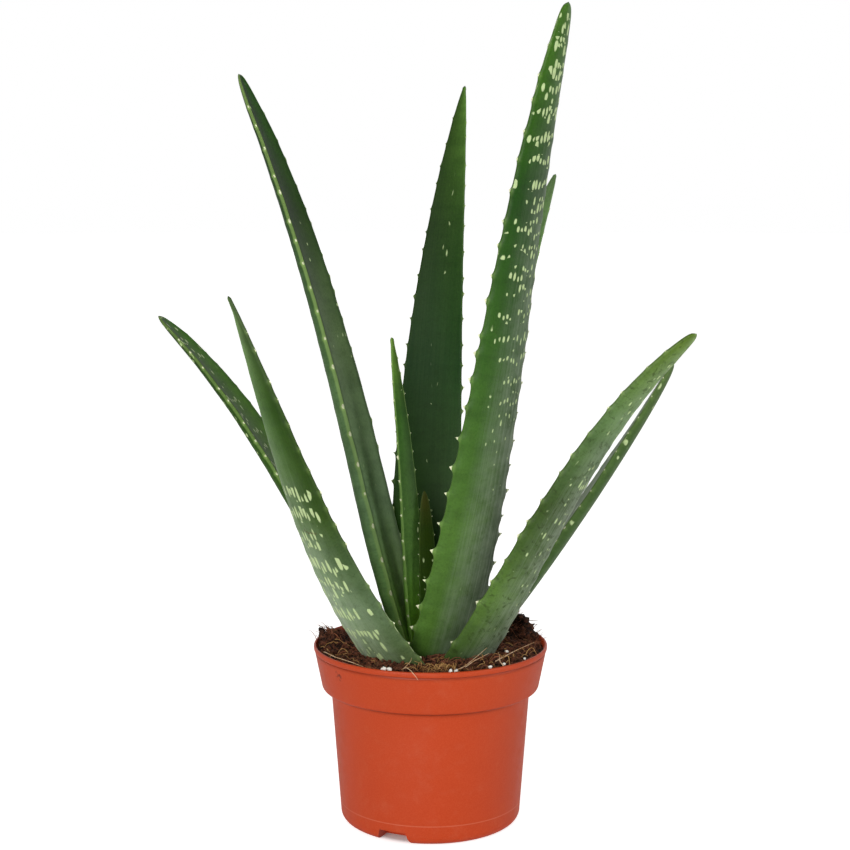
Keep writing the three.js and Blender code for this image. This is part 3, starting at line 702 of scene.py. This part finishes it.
def midline(leaf, steps=384):
    """A function that gives the point of the leaf's midline at s."""
    azimuth = math.radians(leaf["azimuth"][0])
    distance, height = leaf["seat"]
    points = [Vector((CROWN[0] + distance * math.cos(azimuth),
                      CROWN[1] + distance * math.sin(azimuth), height))]
    for i in range(steps):
        along, _, _ = directions(leaf, (i + 0.5) / steps)
        points.append(points[-1] + along * (leaf["length"] / steps))

    def place(s):
        at = min(max(s, 0), 1) * steps
        i = min(int(at), steps - 1)
        return points[i].lerp(points[i + 1], at - i)
    return place


def half_width(leaf, s):
    p, q = leaf["taper"]
    waist = 1 - leaf["neck"] * max(0, 1 - s / NECK_REACH) ** 2
    return max(leaf["width"] / 2 * (1 - s ** p) ** q * waist, TIP_HALF_WIDTH)


def section(half, fullness):
    """One cross-section as rows of across, up, and 0 for the upper face or 1 for the lower.

    It runs over the channelled upper face from edge to edge, then back round the full lower
    face, so its first and last rows are the corners of one edge.
    """
    depth = max(fullness * half, THINNEST)
    edge = min(MARGIN, depth * MARGIN_SHARE) / 2
    rows = [(v * half, edge - CHANNEL * half * (1 - v * v), 0) for v in UPPER_STEPS]
    for i in range(LOWER_STEPS + 1):
        turn = math.pi * i / LOWER_STEPS
        rows.append((half * math.cos(turn), -edge - (depth - edge) * math.sin(turn), 1))
    return rows


RING_POINTS = len(UPPER_STEPS) + LOWER_STEPS + 1
RIGHT_EDGE = len(UPPER_STEPS) - 1


def stations(leaf):
    """Where the cross-sections stand along a leaf: evenly, and closer together at its tip."""
    body = 1 - TIP_ZONE / leaf["length"]
    count = round(body * leaf["length"] / RING_STEP)
    places = [body * i / count for i in range(count + 1)]
    return places + [1 - left / leaf["length"] for left in TIP_RINGS]


def plan_teeth(leaf, dice, size):
    """Each tooth as its side, where it starts and ends along the leaf in mm, and its height."""
    spacing, tallest = leaf["tooth"]
    teeth = []
    for side in (1, -1):
        middles = list(leaf.get("marked", {}).get(side, ()))
        at = middles[-1] + spacing if middles else TOOTH_FIRST
        while at < leaf["length"] - spacing:
            middles.append(at + dice.uniform(-0.2, 0.2) * spacing)
            at += spacing
        for middle in middles:
            shrink = mix(1, TOOTH_AT_TIP, middle / leaf["length"])
            height = tallest * size * dice.uniform(0.85, 1.1) * shrink
            reach = TOOTH_SPAN * height / 2
            teeth.append((side, middle - reach, middle + reach, height))
    return teeth


def closeness(teeth, side, place):
    """How close a place on an edge is to a tooth, from 0 to 1, and that tooth's height."""
    nearest = (0, 0)
    for tooth_side, start, end, height in teeth:
        if tooth_side == side:
            away = (place - (start + end) / 2) / (0.75 * (end - start))
            nearest = max(nearest, (math.exp(-away * away), height))
    return nearest


def raise_tooth(bm, faces, out, tipward, height, tooth_layer):
    """Draws a tooth out of the edge's facets in steps, then brings it to a point."""
    centre = sum((f.calc_center_median() for f in faces), Vector()) / len(faces)
    share = 1.0
    for reach, lean, left in TOOTH_STEPS:
        edges = {edge for face in faces for edge in face.edges}
        result = bmesh.ops.extrude_face_region(bm, geom=list(faces) + list(edges))["geom"]
        faces = [item for item in result if isinstance(item, bmesh.types.BMFace)]
        verts = [item for item in result if isinstance(item, bmesh.types.BMVert)]
        target = centre + (out * reach + tipward * lean) * height * MM
        here = sum((v.co for v in verts), Vector()) / len(verts)
        bmesh.ops.scale(bm, verts=verts, vec=Vector((1, 1, 1)) * (left / share),
                        space=Matrix.Translation(-here))
        bmesh.ops.translate(bm, verts=verts, vec=target - here)
        for vert in verts:
            vert[tooth_layer] = HALO + (1 - HALO) * reach
        share = left
    bmesh.ops.pointmerge(bm, verts=verts, merge_co=target)


def leaf_mesh(name, leaf, size):
    dice = random.Random(SEED + list(LEAVES).index(name))
    place = midline(leaf)
    teeth = plan_teeth(leaf, dice, size)
    rings = [(s, half_width(leaf, s), place(s)) for s in stations(leaf)]
    if leaf["seat"][0] > STEM_RADIUS:
        azimuth = math.radians(leaf["azimuth"][0])
        inward = leaf["seat"][0] - STEM_RADIUS + FOOT_SET_IN
        shift = Vector((-math.cos(azimuth), -math.sin(azimuth), -1)) * inward
        rings.insert(0, (0, FOOT_HALF_WIDTH, place(0) + shift))

    bm = bmesh.new()
    layer = {key: bm.verts.layers.float.new(key)
             for key in ("along", "across", "span", "under", "edge", "tooth")}
    bmesh.ops.create_circle(bm, cap_ends=True, segments=RING_POINTS, radius=MM)
    bm.faces.ensure_lookup_table()
    cap = bm.faces[0]
    drawn = []
    for i, (s, half, centre) in enumerate(rings):
        if i:
            cap = bmesh.ops.extrude_discrete_faces(bm, faces=[cap])["faces"][0]
        along, up, across = directions(leaf, s)
        at = s * leaf["length"]
        near = {side: closeness(teeth, side, at) for side in (1, -1)}
        sides = {side: half + TOOTH_SCALLOP * near[side][0] * near[side][1]
                 for side in (1, -1)}
        drawn.append(list(cap.verts))
        for vert, (x, y, lower) in zip(cap.verts, section(half, leaf["fullness"])):
            side = 1 if x > 0 else -1
            wide = x * sides[side] / half
            wave = noise.noise((at / RIPPLE_LENGTH, 3 if x > 0 else 7, leaf["length"]))
            lift = RIPPLE * wave * (x / half) ** 2
            vert.co = (centre + across * wide + up * (y + lift)) * MM
            vert[layer["along"]] = at * MM
            vert[layer["across"]] = wide * (LOWER_WIDER if lower else 1) * MM
            vert[layer["span"]] = x / half
            vert[layer["under"]] = lower
            inset = (sides[side] - abs(wide)) * (LOWER_EDGE_WIDER if lower else 1)
            vert[layer["edge"]] = inset * MM
            vert[layer["tooth"]] = HALO * near[side][0] * max(0, 1 - inset / HALO_REACH)
    end_along, end_up, _ = directions(leaf, 1)
    tip = place(1) + end_along * TIP_POINT - end_up * THINNEST / 3
    cap = bmesh.ops.extrude_discrete_faces(bm, faces=[cap])["faces"][0]
    bmesh.ops.pointmerge(bm, verts=list(cap.verts), merge_co=tip * MM)
    foot = [edge for edge in bm.edges if edge.is_boundary]
    bmesh.ops.contextual_create(bm, geom=foot)

    first = 1 if leaf["seat"][0] > STEM_RADIUS else 0
    places = [s * leaf["length"] for s, _, _ in rings[first:]]
    for side, start, end, height in teeth:
        i = min(range(len(places)), key=lambda k: abs(places[k] - start)) + first
        j = max(i + 1, min(range(len(places)), key=lambda k: abs(places[k] - end)) + first)
        upper, lower = (RIGHT_EDGE, RIGHT_EDGE + 1) if side > 0 else (0, RING_POINTS - 1)
        faces = []
        for k in range(i, j):
            corners = {drawn[k][upper], drawn[k][lower], drawn[k + 1][upper],
                       drawn[k + 1][lower]}
            faces += [face for face in drawn[k][upper].link_faces
                      if corners == set(face.verts)]
        along, up, across = directions(leaf, start / leaf["length"])
        raise_tooth(bm, faces, across * side, along, height, layer["tooth"])
    return bm


class ALOE_OT_leaves(bpy.types.Operator):
    """Build the ten leaves with their toothed edges and spotted skin"""
    bl_idname = "aloe.leaves"
    bl_label = "Leaves"

    def execute(self, context):
        settings = context.scene.aloe_leaf
        for name, leaf in LEAVES.items():
            bm = leaf_mesh(name, leaf, settings.tooth_size)
            piece = finish_mesh(name + "_skin", bm, leaf_material(name, settings))
            modifier = piece.modifiers.new("Smooth", "SUBSURF")
            modifier.levels = modifier.render_levels = 1
            modifier.boundary_smooth = "PRESERVE_CORNERS"
            attach(piece, "leaf_flesh", name)
        return {"FINISHED"}


# ---- pot -------------------------------------------------------------------------------------

def arc(centre, radius, start, end, steps):
    angles = [math.radians(mix(start, end, i / steps)) for i in range(steps + 1)]
    return [(centre[0] + radius * math.cos(a), centre[1] + radius * math.sin(a))
            for a in angles]


def turned(profile, sides):
    """A solid of revolution from its outline, closed where that starts and ends on the axis."""
    bm = bmesh.new()
    verts = [bm.verts.new((radius * MM, 0, height * MM)) for radius, height in profile]
    edges = [bm.edges.new(pair) for pair in zip(verts, verts[1:])]
    bmesh.ops.spin(bm, geom=verts + edges, axis=(0, 0, 1), cent=(0, 0, 0),
                   angle=2 * math.pi, steps=sides, use_merge=True)
    bmesh.ops.remove_doubles(bm, verts=bm.verts[:], dist=0.01 * MM)
    bmesh.ops.recalc_face_normals(bm, faces=bm.faces[:])
    return bm


def outer_profile():
    corner = (BODY_FOOT_RADIUS - CORNER_RADIUS, CORNER_RADIUS)
    hollow = (BODY_TOP_RADIUS + HOLLOW, BAND_FOOT - 1.3 * HOLLOW)
    band_edge = (BAND_FOOT_RADIUS - 0.85 * BAND_ROUND, BAND_FOOT + 0.85 * BAND_ROUND)
    lip_foot = POT_HEIGHT - LIP_HEIGHT
    return [
        (0, 0), *arc(corner, CORNER_RADIUS, -90, 0, 10),
        (mix(BODY_FOOT_RADIUS, BODY_TOP_RADIUS, 0.1), mix(CORNER_RADIUS, hollow[1], 0.1)),
        (mix(BODY_FOOT_RADIUS, BODY_TOP_RADIUS, 0.9), mix(CORNER_RADIUS, hollow[1], 0.9)),
        (BODY_TOP_RADIUS, hollow[1]), *arc(hollow, HOLLOW, 150, 95, 5),
        *arc(band_edge, BAND_ROUND, -75, -12, 8),
        (RIM_RADIUS - LIP_OUT - 0.25, lip_foot - 0.7),
        (RIM_RADIUS - LIP_OUT - 0.45, lip_foot - 0.1),
        (RIM_RADIUS - LIP_OUT + 0.05, lip_foot + 0.35),
        (RIM_RADIUS - 0.08, lip_foot + 0.9), (RIM_RADIUS, POT_HEIGHT - LIP_HEIGHT / 2),
        *arc((RIM_RADIUS - LIP_EDGE, POT_HEIGHT - LIP_EDGE), LIP_EDGE, 0, 90, 4),
        (0, POT_HEIGHT)]


def hollow_profile():
    inner_top = RIM_RADIUS - WALL
    above = POT_HEIGHT + 0.2
    return [(0, BASE_THICKNESS), (BODY_FOOT_RADIUS - 3.9, BASE_THICKNESS),
            (BODY_FOOT_RADIUS - WALL, CORNER_RADIUS), (BODY_TOP_RADIUS - WALL, BAND_FOOT - 1),
            (BAND_FOOT_RADIUS - WALL, BAND_FOOT + 3), (inner_top, POT_HEIGHT - LIP_EDGE),
            (inner_top + 0.5, above), (0, above)]


def blocks_at_notches(inner, outer, foot, top, half_at_top, slope):
    """A block with leaning sides at each notch, from one radius to another."""
    bm = bmesh.new()
    for azimuth in NOTCH_AZIMUTHS:
        turn = Matrix.Rotation(math.radians(azimuth), 4, "Z")
        verts = bmesh.ops.create_cube(bm, size=1)["verts"]
        for vert in verts:
            height = top if vert.co.z > 0 else foot
            half = half_at_top + (0 if vert.co.z > 0 else slope)
            radius = outer if vert.co.x > 0 else inner
            vert.co = turn @ (Vector((radius, math.copysign(half, vert.co.y), height)) * MM)
    return bm


def as_built(item):
    """What an object has become after its modifiers, as a bmesh."""
    built = item.evaluated_get(bpy.context.evaluated_depsgraph_get())
    bm = bmesh.new()
    bm.from_mesh(built.to_mesh())
    built.to_mesh_clear()
    return bm


def cut(target, tool):
    """Cuts the tool's solid out of the target's, and gives the result."""
    objects = [new_object("cutting", new_mesh("cutting", bm)) for bm in (target, tool)]
    modifier = objects[0].modifiers.new("Cut", "BOOLEAN")
    modifier.object = objects[1]
    modifier.operation = "DIFFERENCE"
    modifier.solver = "EXACT"
    result = as_built(objects[0])
    for item in objects:
        mesh = item.data
        bpy.data.objects.remove(item)
        bpy.data.meshes.remove(mesh)
    return result


def pot_material(settings):
    material, nodes, surface = new_material("Moulded pot plastic", Specular_IOR_Level=0.25)
    place = nodes.place()
    height = nodes.axes(place)[2]
    clouds = nodes.rise(nodes.noise(place, 22.0, 3.0), 0.3, 0.7, end=0.1)
    colour = nodes.tint(settings.colour, clouds, "#a33412")
    speckle = nodes.group(fine_speckle(), Place=place, Scale=1600.0)
    colour = nodes.tint(colour, nodes.times(speckle["Mask"], 0.12), "#d86a40")
    dust = nodes.noise(place, 130.0, 5.0, 0.65)
    colour = nodes.tint(colour, nodes.rise(dust, 0.5, 0.8, end=0.08), "#c98e70")
    # A pale line at the mould's seam, painted on as the highlight that its ridge catches.
    seam_highlight = nodes.fall(nodes.far(height, SEAM_HEIGHT * MM), 0.0001, 0.0005, 0.16)
    colour = nodes.tint(colour, seam_highlight, "#e9a084")
    # Painted shade: a dark band that fades in under the lip and under the band, where they
    # overhang.
    for end, reach, strength in SHADE_UNDER_LIP_AND_BAND:
        below = nodes.rise(height, (end - reach) * MM, end * MM)
        above = nodes.fall(height, end * MM, (end + 0.5) * MM)
        shade = nodes.times(nodes.times(below, below), nodes.times(above, strength))
        colour = nodes.tint(colour, shade, "#54180a")
    away = nodes.node("VectorMath", {0: place, 1: Vector(DIRT_PLACE) * MM}, "Value",
                      operation="DISTANCE")
    dirt = nodes.times(nodes.fall(away, 0.001, 0.0036),
                       nodes.rise(nodes.noise(place, 620.0, 3.0), 0.44, 0.56))
    colour = nodes.tint(colour, nodes.times(dirt, 0.8), "#3a130a")
    rough = nodes.plus(settings.shine, nodes.times(nodes.rise(dust, 0.4, 0.8), 0.16))
    nodes.feed(surface, Base_Color=colour, Roughness=rough,
               Normal=nodes.bump(speckle["Height"], 0.00006, 0.6))
    return material


class ALOE_OT_pot(bpy.types.Operator):
    """Build the plastic pot with its rim band and drainage notches"""
    bl_idname = "aloe.pot"
    bl_label = "Pot"

    def execute(self, context):
        end = BODY_FOOT_RADIUS - NOTCH_DEPTH
        half = NOTCH_WIDTH / 2
        pockets = blocks_at_notches(end - WALL, BODY_FOOT_RADIUS, 0, NOTCH_HEIGHT + WALL,
                                    half + WALL, NOTCH_SLOPE)
        notches = blocks_at_notches(end, BODY_FOOT_RADIUS + WALL, -1, NOTCH_HEIGHT, half,
                                    NOTCH_SLOPE)
        drains = blocks_at_notches(end + DRAIN_REACH[0], end + DRAIN_REACH[1], 1,
                                   3 * NOTCH_HEIGHT, DRAIN_HALF_WIDTH, 0)
        hollow = cut(turned(hollow_profile(), POT_SIDES), pockets)
        pot = cut(cut(cut(turned(outer_profile(), POT_SIDES), hollow), notches), drains)
        piece = finish_mesh("pot_shell", pot, pot_material(context.scene.aloe_pot), sharp=28)
        attach(piece, "pot_plastic", "pot")
        return {"FINISHED"}


# ---- soil ------------------------------------------------------------------------------------

def soil_height(x, y):
    """Height of the soil's top in mm: its heaps, a slow swell and the lumps of peat."""
    height = SOIL_LEVEL + 0.8 * math.sin(x / 9 + 1) * math.cos(y / 11)
    for heap_x, heap_y, tall, spread in HEAPS:
        away = (x - heap_x) ** 2 + (y - heap_y) ** 2
        height += tall * math.exp(-away / (2 * spread ** 2))
    height += 1.3 * noise.noise((x / 6, y / 6, 1)) + 0.9 * noise.noise((x / 2.6, y / 2.6, 5))
    height += 0.5 * noise.noise((x / 1.3, y / 1.3, 9))
    wall = max(0, math.hypot(x, y) - 54) / 4
    return min(height, mix(200, POT_HEIGHT - SOIL_FREEBOARD, min(1, wall)))


def peat_material(name, peat, depth):
    """Peat, with black hollows, partly painted shade, that take up more of it as depth goes from
    0 to 1.
    """
    material, nodes, surface = new_material(name, Specular_IOR_Level=0.25)
    place = nodes.place()
    clods = nodes.noise(place, 420.0, 5.0, 0.7)
    grains = nodes.noise(place, 1500.0, 3.0, 0.6)
    # The black is partly the peat's own dark and partly painted shade in the hollows between its
    # lumps.
    light = nodes.rise(clods, 0.2 + 0.2 * depth, 0.5 + 0.25 * depth)
    colour = nodes.blend(light, paint("#130a06"), peat)
    colour = nodes.tint(colour, nodes.rise(grains, 0.52, 0.7, end=0.6), "#94614a")
    nodes.feed(surface, Base_Color=colour, Roughness=nodes.rise(grains, 0.3, 0.7, 0.75, 0.95),
               Normal=nodes.bump(nodes.plus(clods, grains), 0.0004))
    return material


def plain_material(name, dark, light, scale, rough):
    """A dull material that varies between two colours at a given scale."""
    material, nodes, surface = new_material(name, Specular_IOR_Level=0.3, Roughness=rough)
    tone = nodes.noise(nodes.place(), scale, 4.0, 0.65)
    nodes.feed(surface, Base_Color=nodes.blend(nodes.rise(tone, 0.3, 0.7), paint(dark),
                                               paint(light)),
               Normal=nodes.bump(tone, 0.0001))
    return material


def lay(name, bm, material, *nodes):
    attach(finish_mesh(name, bm, material), "potting_soil", *nodes)


def scatter_spot(dice, edge=CLEAR_OF_WALL):
    """A place on the soil, clear of the wall."""
    radius = edge * math.sqrt(dice.random())
    angle = dice.uniform(0, 2 * math.pi)
    return radius * math.cos(angle), radius * math.sin(angle)


def scattered(template, lumps):
    """Copies of a small shape in one mesh: each given as its transform, roughness and jitter."""
    bm = bmesh.new()
    count = len(template.vertices)
    for _ in lumps:
        bm.from_mesh(template)
    bm.verts.ensure_lookup_table()
    for i, (transform, rough, jitter) in enumerate(lumps):
        for vert in bm.verts[i * count:(i + 1) * count]:
            swell = 1 + rough * noise.noise(vert.co * 1.7 + Vector((jitter, 0, jitter)))
            vert.co = transform @ (vert.co * swell)
    return bm


def ball_mesh(rounds):
    bm = bmesh.new()
    bmesh.ops.create_icosphere(bm, subdivisions=rounds, radius=1)
    return new_mesh("ball", bm)


def on_soil(x, y, lift):
    return Vector((x, y, soil_height(x, y) + lift))


def turned_lump(dice, place, size, squash, rough):
    """A lump that lies at a place, turned any way, as scattered() takes it. Sizes in mm."""
    turn = Quaternion([dice.uniform(-1, 1) for _ in range(3)], dice.uniform(0, 6.28))
    scale = Matrix.Diagonal((size, size * squash[0], size * squash[1], 1))
    transform = Matrix.Translation(place * MM) @ turn.to_matrix().to_4x4() @ scale
    return transform @ Matrix.Scale(MM, 4), rough, dice.uniform(0, 50)


def fibre_curve(name, fibres, material):
    """Thin bent fibres as one mesh. Each is a list of points and radii in mm."""
    curve = bpy.data.curves.new(name, "CURVE")
    curve.dimensions = "3D"
    curve.bevel_depth = MM
    curve.bevel_resolution = 0
    curve.use_fill_caps = True
    for points in fibres:
        spline = curve.splines.new("POLY")
        spline.points.add(len(points) - 1)
        for point, (place, radius) in zip(spline.points, points):
            point.co = (*(place * MM), 1)
            point.radius = radius
    holder = new_object(name, curve)
    bm = as_built(holder)
    bpy.data.objects.remove(holder)
    bpy.data.curves.remove(curve)
    lay(name, bm, material)


def fibre_path(dice, x, y, length, lift, radius, steps=6):
    """A fibre that wanders over the soil from x, y."""
    heading = dice.uniform(0, 2 * math.pi)
    points = []
    for i in range(steps + 1):
        share = i / steps
        inward = min(1, FIBRES_END / math.hypot(x, y))
        x, y = x * inward, y * inward
        points.append((on_soil(x, y, 0.3 + lift * math.sin(math.pi * share)),
                       radius * (1 - 0.5 * share)))
        heading += dice.uniform(-0.5, 0.5)
        x += math.cos(heading) * length / steps
        y += math.sin(heading) * length / steps
    return points


def hair_path(dice, x, y, length, radius, steps=4):
    """A stiff hair that stands up out of the soil at x, y and leans outwards."""
    heading = math.atan2(y, x) + dice.uniform(-1.3, 1.3)
    climb = dice.uniform(0.3, 1.3)
    place = on_soil(x, y, -0.5)
    points = []
    for i in range(steps + 1):
        points.append((place.copy(), radius * (1 - 0.6 * i / steps)))
        place += Vector((math.cos(heading) * math.cos(climb), math.sin(heading) *
                         math.cos(climb), math.sin(climb))) * (length / steps)
        climb -= dice.uniform(0, 0.35)
    return points


def root_path(knots, radius, steps=5):
    """A root that runs smoothly through its points and thins towards its end."""
    knots = [Vector(knot) for knot in knots]
    knots = [2 * knots[0] - knots[1], *knots, 2 * knots[-1] - knots[-2]]
    count = (len(knots) - 3) * steps
    points = []
    for k in range(count + 1):
        i = min(k // steps, len(knots) - 4)
        s = k / steps - i
        a, b, c, d = knots[i:i + 4]
        place = (2 * b + (c - a) * s + (2 * a - 5 * b + 4 * c - d) * s ** 2
                 + (3 * b - a - 3 * c + d) * s ** 3) / 2
        points.append((place, radius * (1 - 0.6 * k / count)))
    return points


class ALOE_OT_soil(bpy.types.Operator):
    """Build the peat with its crumbs, bark chips, roots, fibres and perlite"""
    bl_idname = "aloe.soil"
    bl_label = "Soil"

    def execute(self, context):
        settings = context.scene.aloe_soil
        dice = random.Random(SEED)
        ball, grain = ball_mesh(1), ball_mesh(2)
        self.fill(settings)
        self.crumbs(settings, dice, ball, grain)
        self.chips(dice, ball)
        self.fibres(settings, dice)
        self.perlite(settings, dice, grain)
        for mesh in (ball, grain):
            bpy.data.meshes.remove(mesh)
        return {"FINISHED"}

    def fill(self, settings):
        """The body of the peat, round the pockets in the pot's floor."""
        top = [(PEAT_WALL[-1][0] + 0.1 - PEAT_RING_STEP * i, PEAT_TOP)
               for i in range(PEAT_RINGS)]
        bm = turned([*PEAT_WALL, *top, (0, PEAT_TOP)], PEAT_SIDES)
        for vert in bm.verts:
            if vert.co.z > (PEAT_TOP - 1) * MM:
                vert.co.z = soil_height(vert.co.x / MM, vert.co.y / MM) * MM
        room = WALL + WALL_GAP
        pockets = blocks_at_notches(
            BODY_FOOT_RADIUS - NOTCH_DEPTH - room, BODY_FOOT_RADIUS, 0, NOTCH_HEIGHT + room,
            NOTCH_WIDTH / 2 + room, NOTCH_SLOPE)
        peat = peat_material("Damp peat", settings.colour, 1)
        lay("soil_peat", cut(bm, pockets), peat, "soil")

    def crumbs(self, settings, dice, ball, grain):
        lumps = []
        for _ in range(settings.crumbs):
            x, y = scatter_spot(dice)
            size = dice.choice(CRUMB_SIZES)
            squash = (dice.uniform(0.6, 1), dice.uniform(0.5, 0.9))
            place = on_soil(x, y, 0.25 * size)
            lumps.append(turned_lump(dice, place, size, squash, 0.7))
        peat = peat_material("Peat crumbs", settings.colour, 0.4)
        lay("peat_crumbs", scattered(ball, lumps), peat)
        clods = [turned_lump(dice, Vector(place), size, (0.85, 0.75), 1.1)
                 for *place, size in SEEN_CLODS]
        dark = peat_material("Dark clods", settings.colour, 1)
        lay("peat_clods", scattered(grain, clods), dark)

    def chips(self, dice, ball):
        chips = []
        for _ in range(CHIPS):
            x, y = scatter_spot(dice, CLEAR_OF_WALL - 2.5)
            size = dice.uniform(1.6, 3.4)
            squash = (dice.uniform(0.25, 0.5), dice.uniform(0.12, 0.25))
            place = on_soil(x, y, 0.15 * size)
            chips.append(turned_lump(dice, place, size, squash, 0.5))
        bark = plain_material("Bark chips", "#3a2314", "#8a5f40", 420.0, 0.85)
        lay("bark_chips", scattered(ball, chips), bark)

    def fibres(self, settings, dice):
        dark, golden = [], []
        for i in range(settings.fibres):
            x, y = scatter_spot(dice)
            length = dice.uniform(4, 14)
            fibre = fibre_path(dice, x, y, length, dice.uniform(0.2, 2.4),
                               dice.choice(FIBRE_RADII))
            (dark if i % GOLDEN_EVERY else golden).append(fibre)
        for x, y, count in NESTS:
            for _ in range(count):
                golden.append(fibre_path(
                    dice, x + dice.gauss(0, 4), y + dice.gauss(0, 3), dice.uniform(4, 9),
                    dice.uniform(1, 4), dice.uniform(0.12, 0.26)))
        for x, y in TUFTS:
            for _ in range(TUFT_HAIRS):
                dark.append(hair_path(
                    dice, x + dice.gauss(0, 2.5), y + dice.gauss(0, 2.5),
                    dice.uniform(3, 9), dice.uniform(0.14, 0.3)))
        roots = [root_path(knots, 0.3) for knots in SEEN_ROOTS]
        for name, fibres, *look in (
                ("dark_fibres", dark, "Dark root fibres", "#25120b", "#a8694a", 180.0, 0.8),
                ("golden_fibres", golden, "Golden coir fibres", "#9a6730", "#e0b070", 300.0,
                 0.7),
                ("pale_roots", roots, "Pale roots", "#b98a5c", "#ecceaa", 300.0, 0.6)):
            fibre_curve(name, fibres, plain_material(*look))

    def perlite(self, settings, dice, grain):
        places = list(SEEN_GRAINS)
        for _ in range(settings.perlite):
            size = dice.uniform(0.5, 0.9)
            spot = scatter_spot(dice, CLEAR_OF_WALL - 1.5)
            places.append((*on_soil(*spot, size), size))
        grains = [turned_lump(dice, Vector(place), size, (0.85, 0.75), 0.5)
                  for *place, size in places]
        white = plain_material("Perlite", "#e6e0d2", "#fdfbf4", 900.0, 0.9)
        lay("perlite", scattered(grain, grains), white)


# ---- stem ------------------------------------------------------------------------------------

class ALOE_OT_stem(bpy.types.Operator):
    """Give the hidden stem its fleshy finish"""
    bl_idname = "aloe.stem"
    bl_label = "Stem"

    def execute(self, context):
        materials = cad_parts["stem"].data.materials
        materials.clear()
        materials.append(plain_material("Stem flesh", "#7f9457", "#a9b77c", 240.0, 0.55))
        return {"FINISHED"}


# ---- stage -----------------------------------------------------------------------------------

class ALOE_OT_stage(bpy.types.Operator):
    """Set the floor, the soft studio light and the camera"""
    bl_idname = "aloe.stage"
    bl_label = "Stage"

    def execute(self, context):
        settings = context.scene.aloe_stage
        self.floor(settings)
        self.light(context.scene, settings)
        self.camera(context.scene)
        return {"FINISHED"}

    def floor(self, settings):
        rise = arc((FLOOR_RADIUS, FLOOR_LEVEL + FLOOR_CURVE), FLOOR_CURVE, -90, -20, 8)
        bm = turned([(0, FLOOR_LEVEL), (FLOOR_RADIUS, FLOOR_LEVEL), *rise], 96)
        bmesh.ops.reverse_faces(bm, faces=[face for face in bm.faces if face.normal.z < 0])
        material, nodes, surface = new_material(
            "Studio floor", Base_Color=settings.floor, Roughness=0.9, Specular_IOR_Level=0.1,
            Emission_Strength=0.75)
        away = nodes.node("VectorMath", {0: nodes.place()}, "Value", operation="LENGTH")
        bright = nodes.rise(away, (BODY_FOOT_RADIUS - 9) * MM, (BODY_FOOT_RADIUS - 3) * MM)
        nodes.feed(surface, Emission_Color=nodes.blend(
            nodes.times(nodes.seen(), bright), (0.1, 0.1, 0.1, 1), (1, 1, 1, 1)))
        mesh = new_mesh("studio_floor", bm)
        mesh.materials.append(material)
        new_object("studio_floor", mesh)

    def light(self, scene, settings):
        world = bpy.data.worlds.new("Studio")
        world.use_nodes = True
        nodes = Drawing(world.node_tree)
        depth = nodes.axes(nodes.node("TexCoord", {}, "Generated"))[1]
        behind = nodes.times(nodes.rise(depth, 0.0, 0.8, 0.14, 0.9), settings.light)
        nodes.feed(world.node_tree.nodes["Background"],
                   Color=nodes.between(nodes.seen(), behind, 1.0))
        scene.world = world
        for name, (place, size, power) in LAMPS.items():
            light = bpy.data.lights.new(name, "AREA")
            light.shape = "SQUARE"
            light.size = size
            light.energy = power * settings.light
            lamp = new_object(name, light)
            lamp.location = place
            aim = Vector(LAMP_AIM) - Vector(place)
            lamp.rotation_euler = aim.to_track_quat("-Z", "Y").to_euler()

    def camera(self, scene):
        lens = bpy.data.cameras.new("camera")
        lens.sensor_width = 36
        lens.lens = CAMERA_LENS
        lens.clip_start = 0.05
        lens.clip_end = 50
        scene.camera = new_object("camera", lens)
        scene.camera.location = CAMERA_PLACE
        scene.camera.rotation_euler = (math.radians(90 - CAMERA_PITCH), 0, 0)
        scene.view_settings.view_transform = "Standard"


# ---- add-on ----------------------------------------------------------------------------------

class ALOE_PT_panel(bpy.types.Panel):
    """The settings and the steps that build the plant"""
    bl_label = "Potted aloe"
    bl_idname = "ALOE_PT_panel"
    bl_space_type = "VIEW_3D"
    bl_region_type = "UI"
    bl_category = "Aloe"

    def draw(self, context):
        for key, names, operators in (
                ("aloe_pot", ("colour", "shine"), ("aloe.pot",)),
                ("aloe_soil", ("colour", "crumbs", "fibres", "perlite"), ("aloe.soil",)),
                ("aloe_leaf", ("spot_colour", "tooth_colour", "margin_colour", "bloom_colour",
                               "tooth_size"), ("aloe.stem", "aloe.leaves")),
                ("aloe_stage", ("light", "floor"), ("aloe.stage",))):
            box = self.layout.box()
            for name in names:
                box.prop(getattr(context.scene, key), name)
            for operator in operators:
                box.operator(operator)


SETTINGS = {"aloe_pot": AloePotSettings, "aloe_leaf": AloeLeafSettings,
            "aloe_soil": AloeSoilSettings, "aloe_stage": AloeStageSettings}
CLASSES = (*SETTINGS.values(), ALOE_OT_pot, ALOE_OT_soil, ALOE_OT_stem, ALOE_OT_leaves,
           ALOE_OT_stage, ALOE_PT_panel)


def register():
    for item in CLASSES:
        bpy.utils.register_class(item)
    for key, kind in SETTINGS.items():
        setattr(bpy.types.Scene, key, bpy.props.PointerProperty(type=kind))


def unregister():
    for key in SETTINGS:
        delattr(bpy.types.Scene, key)
    for item in reversed(CLASSES):
        bpy.utils.unregister_class(item)


def main():
    register()
    bpy.ops.aloe.pot()
    bpy.ops.aloe.soil()
    bpy.ops.aloe.stem()
    bpy.ops.aloe.leaves()
    bpy.ops.aloe.stage()


if __name__ == "__main__":
    main()
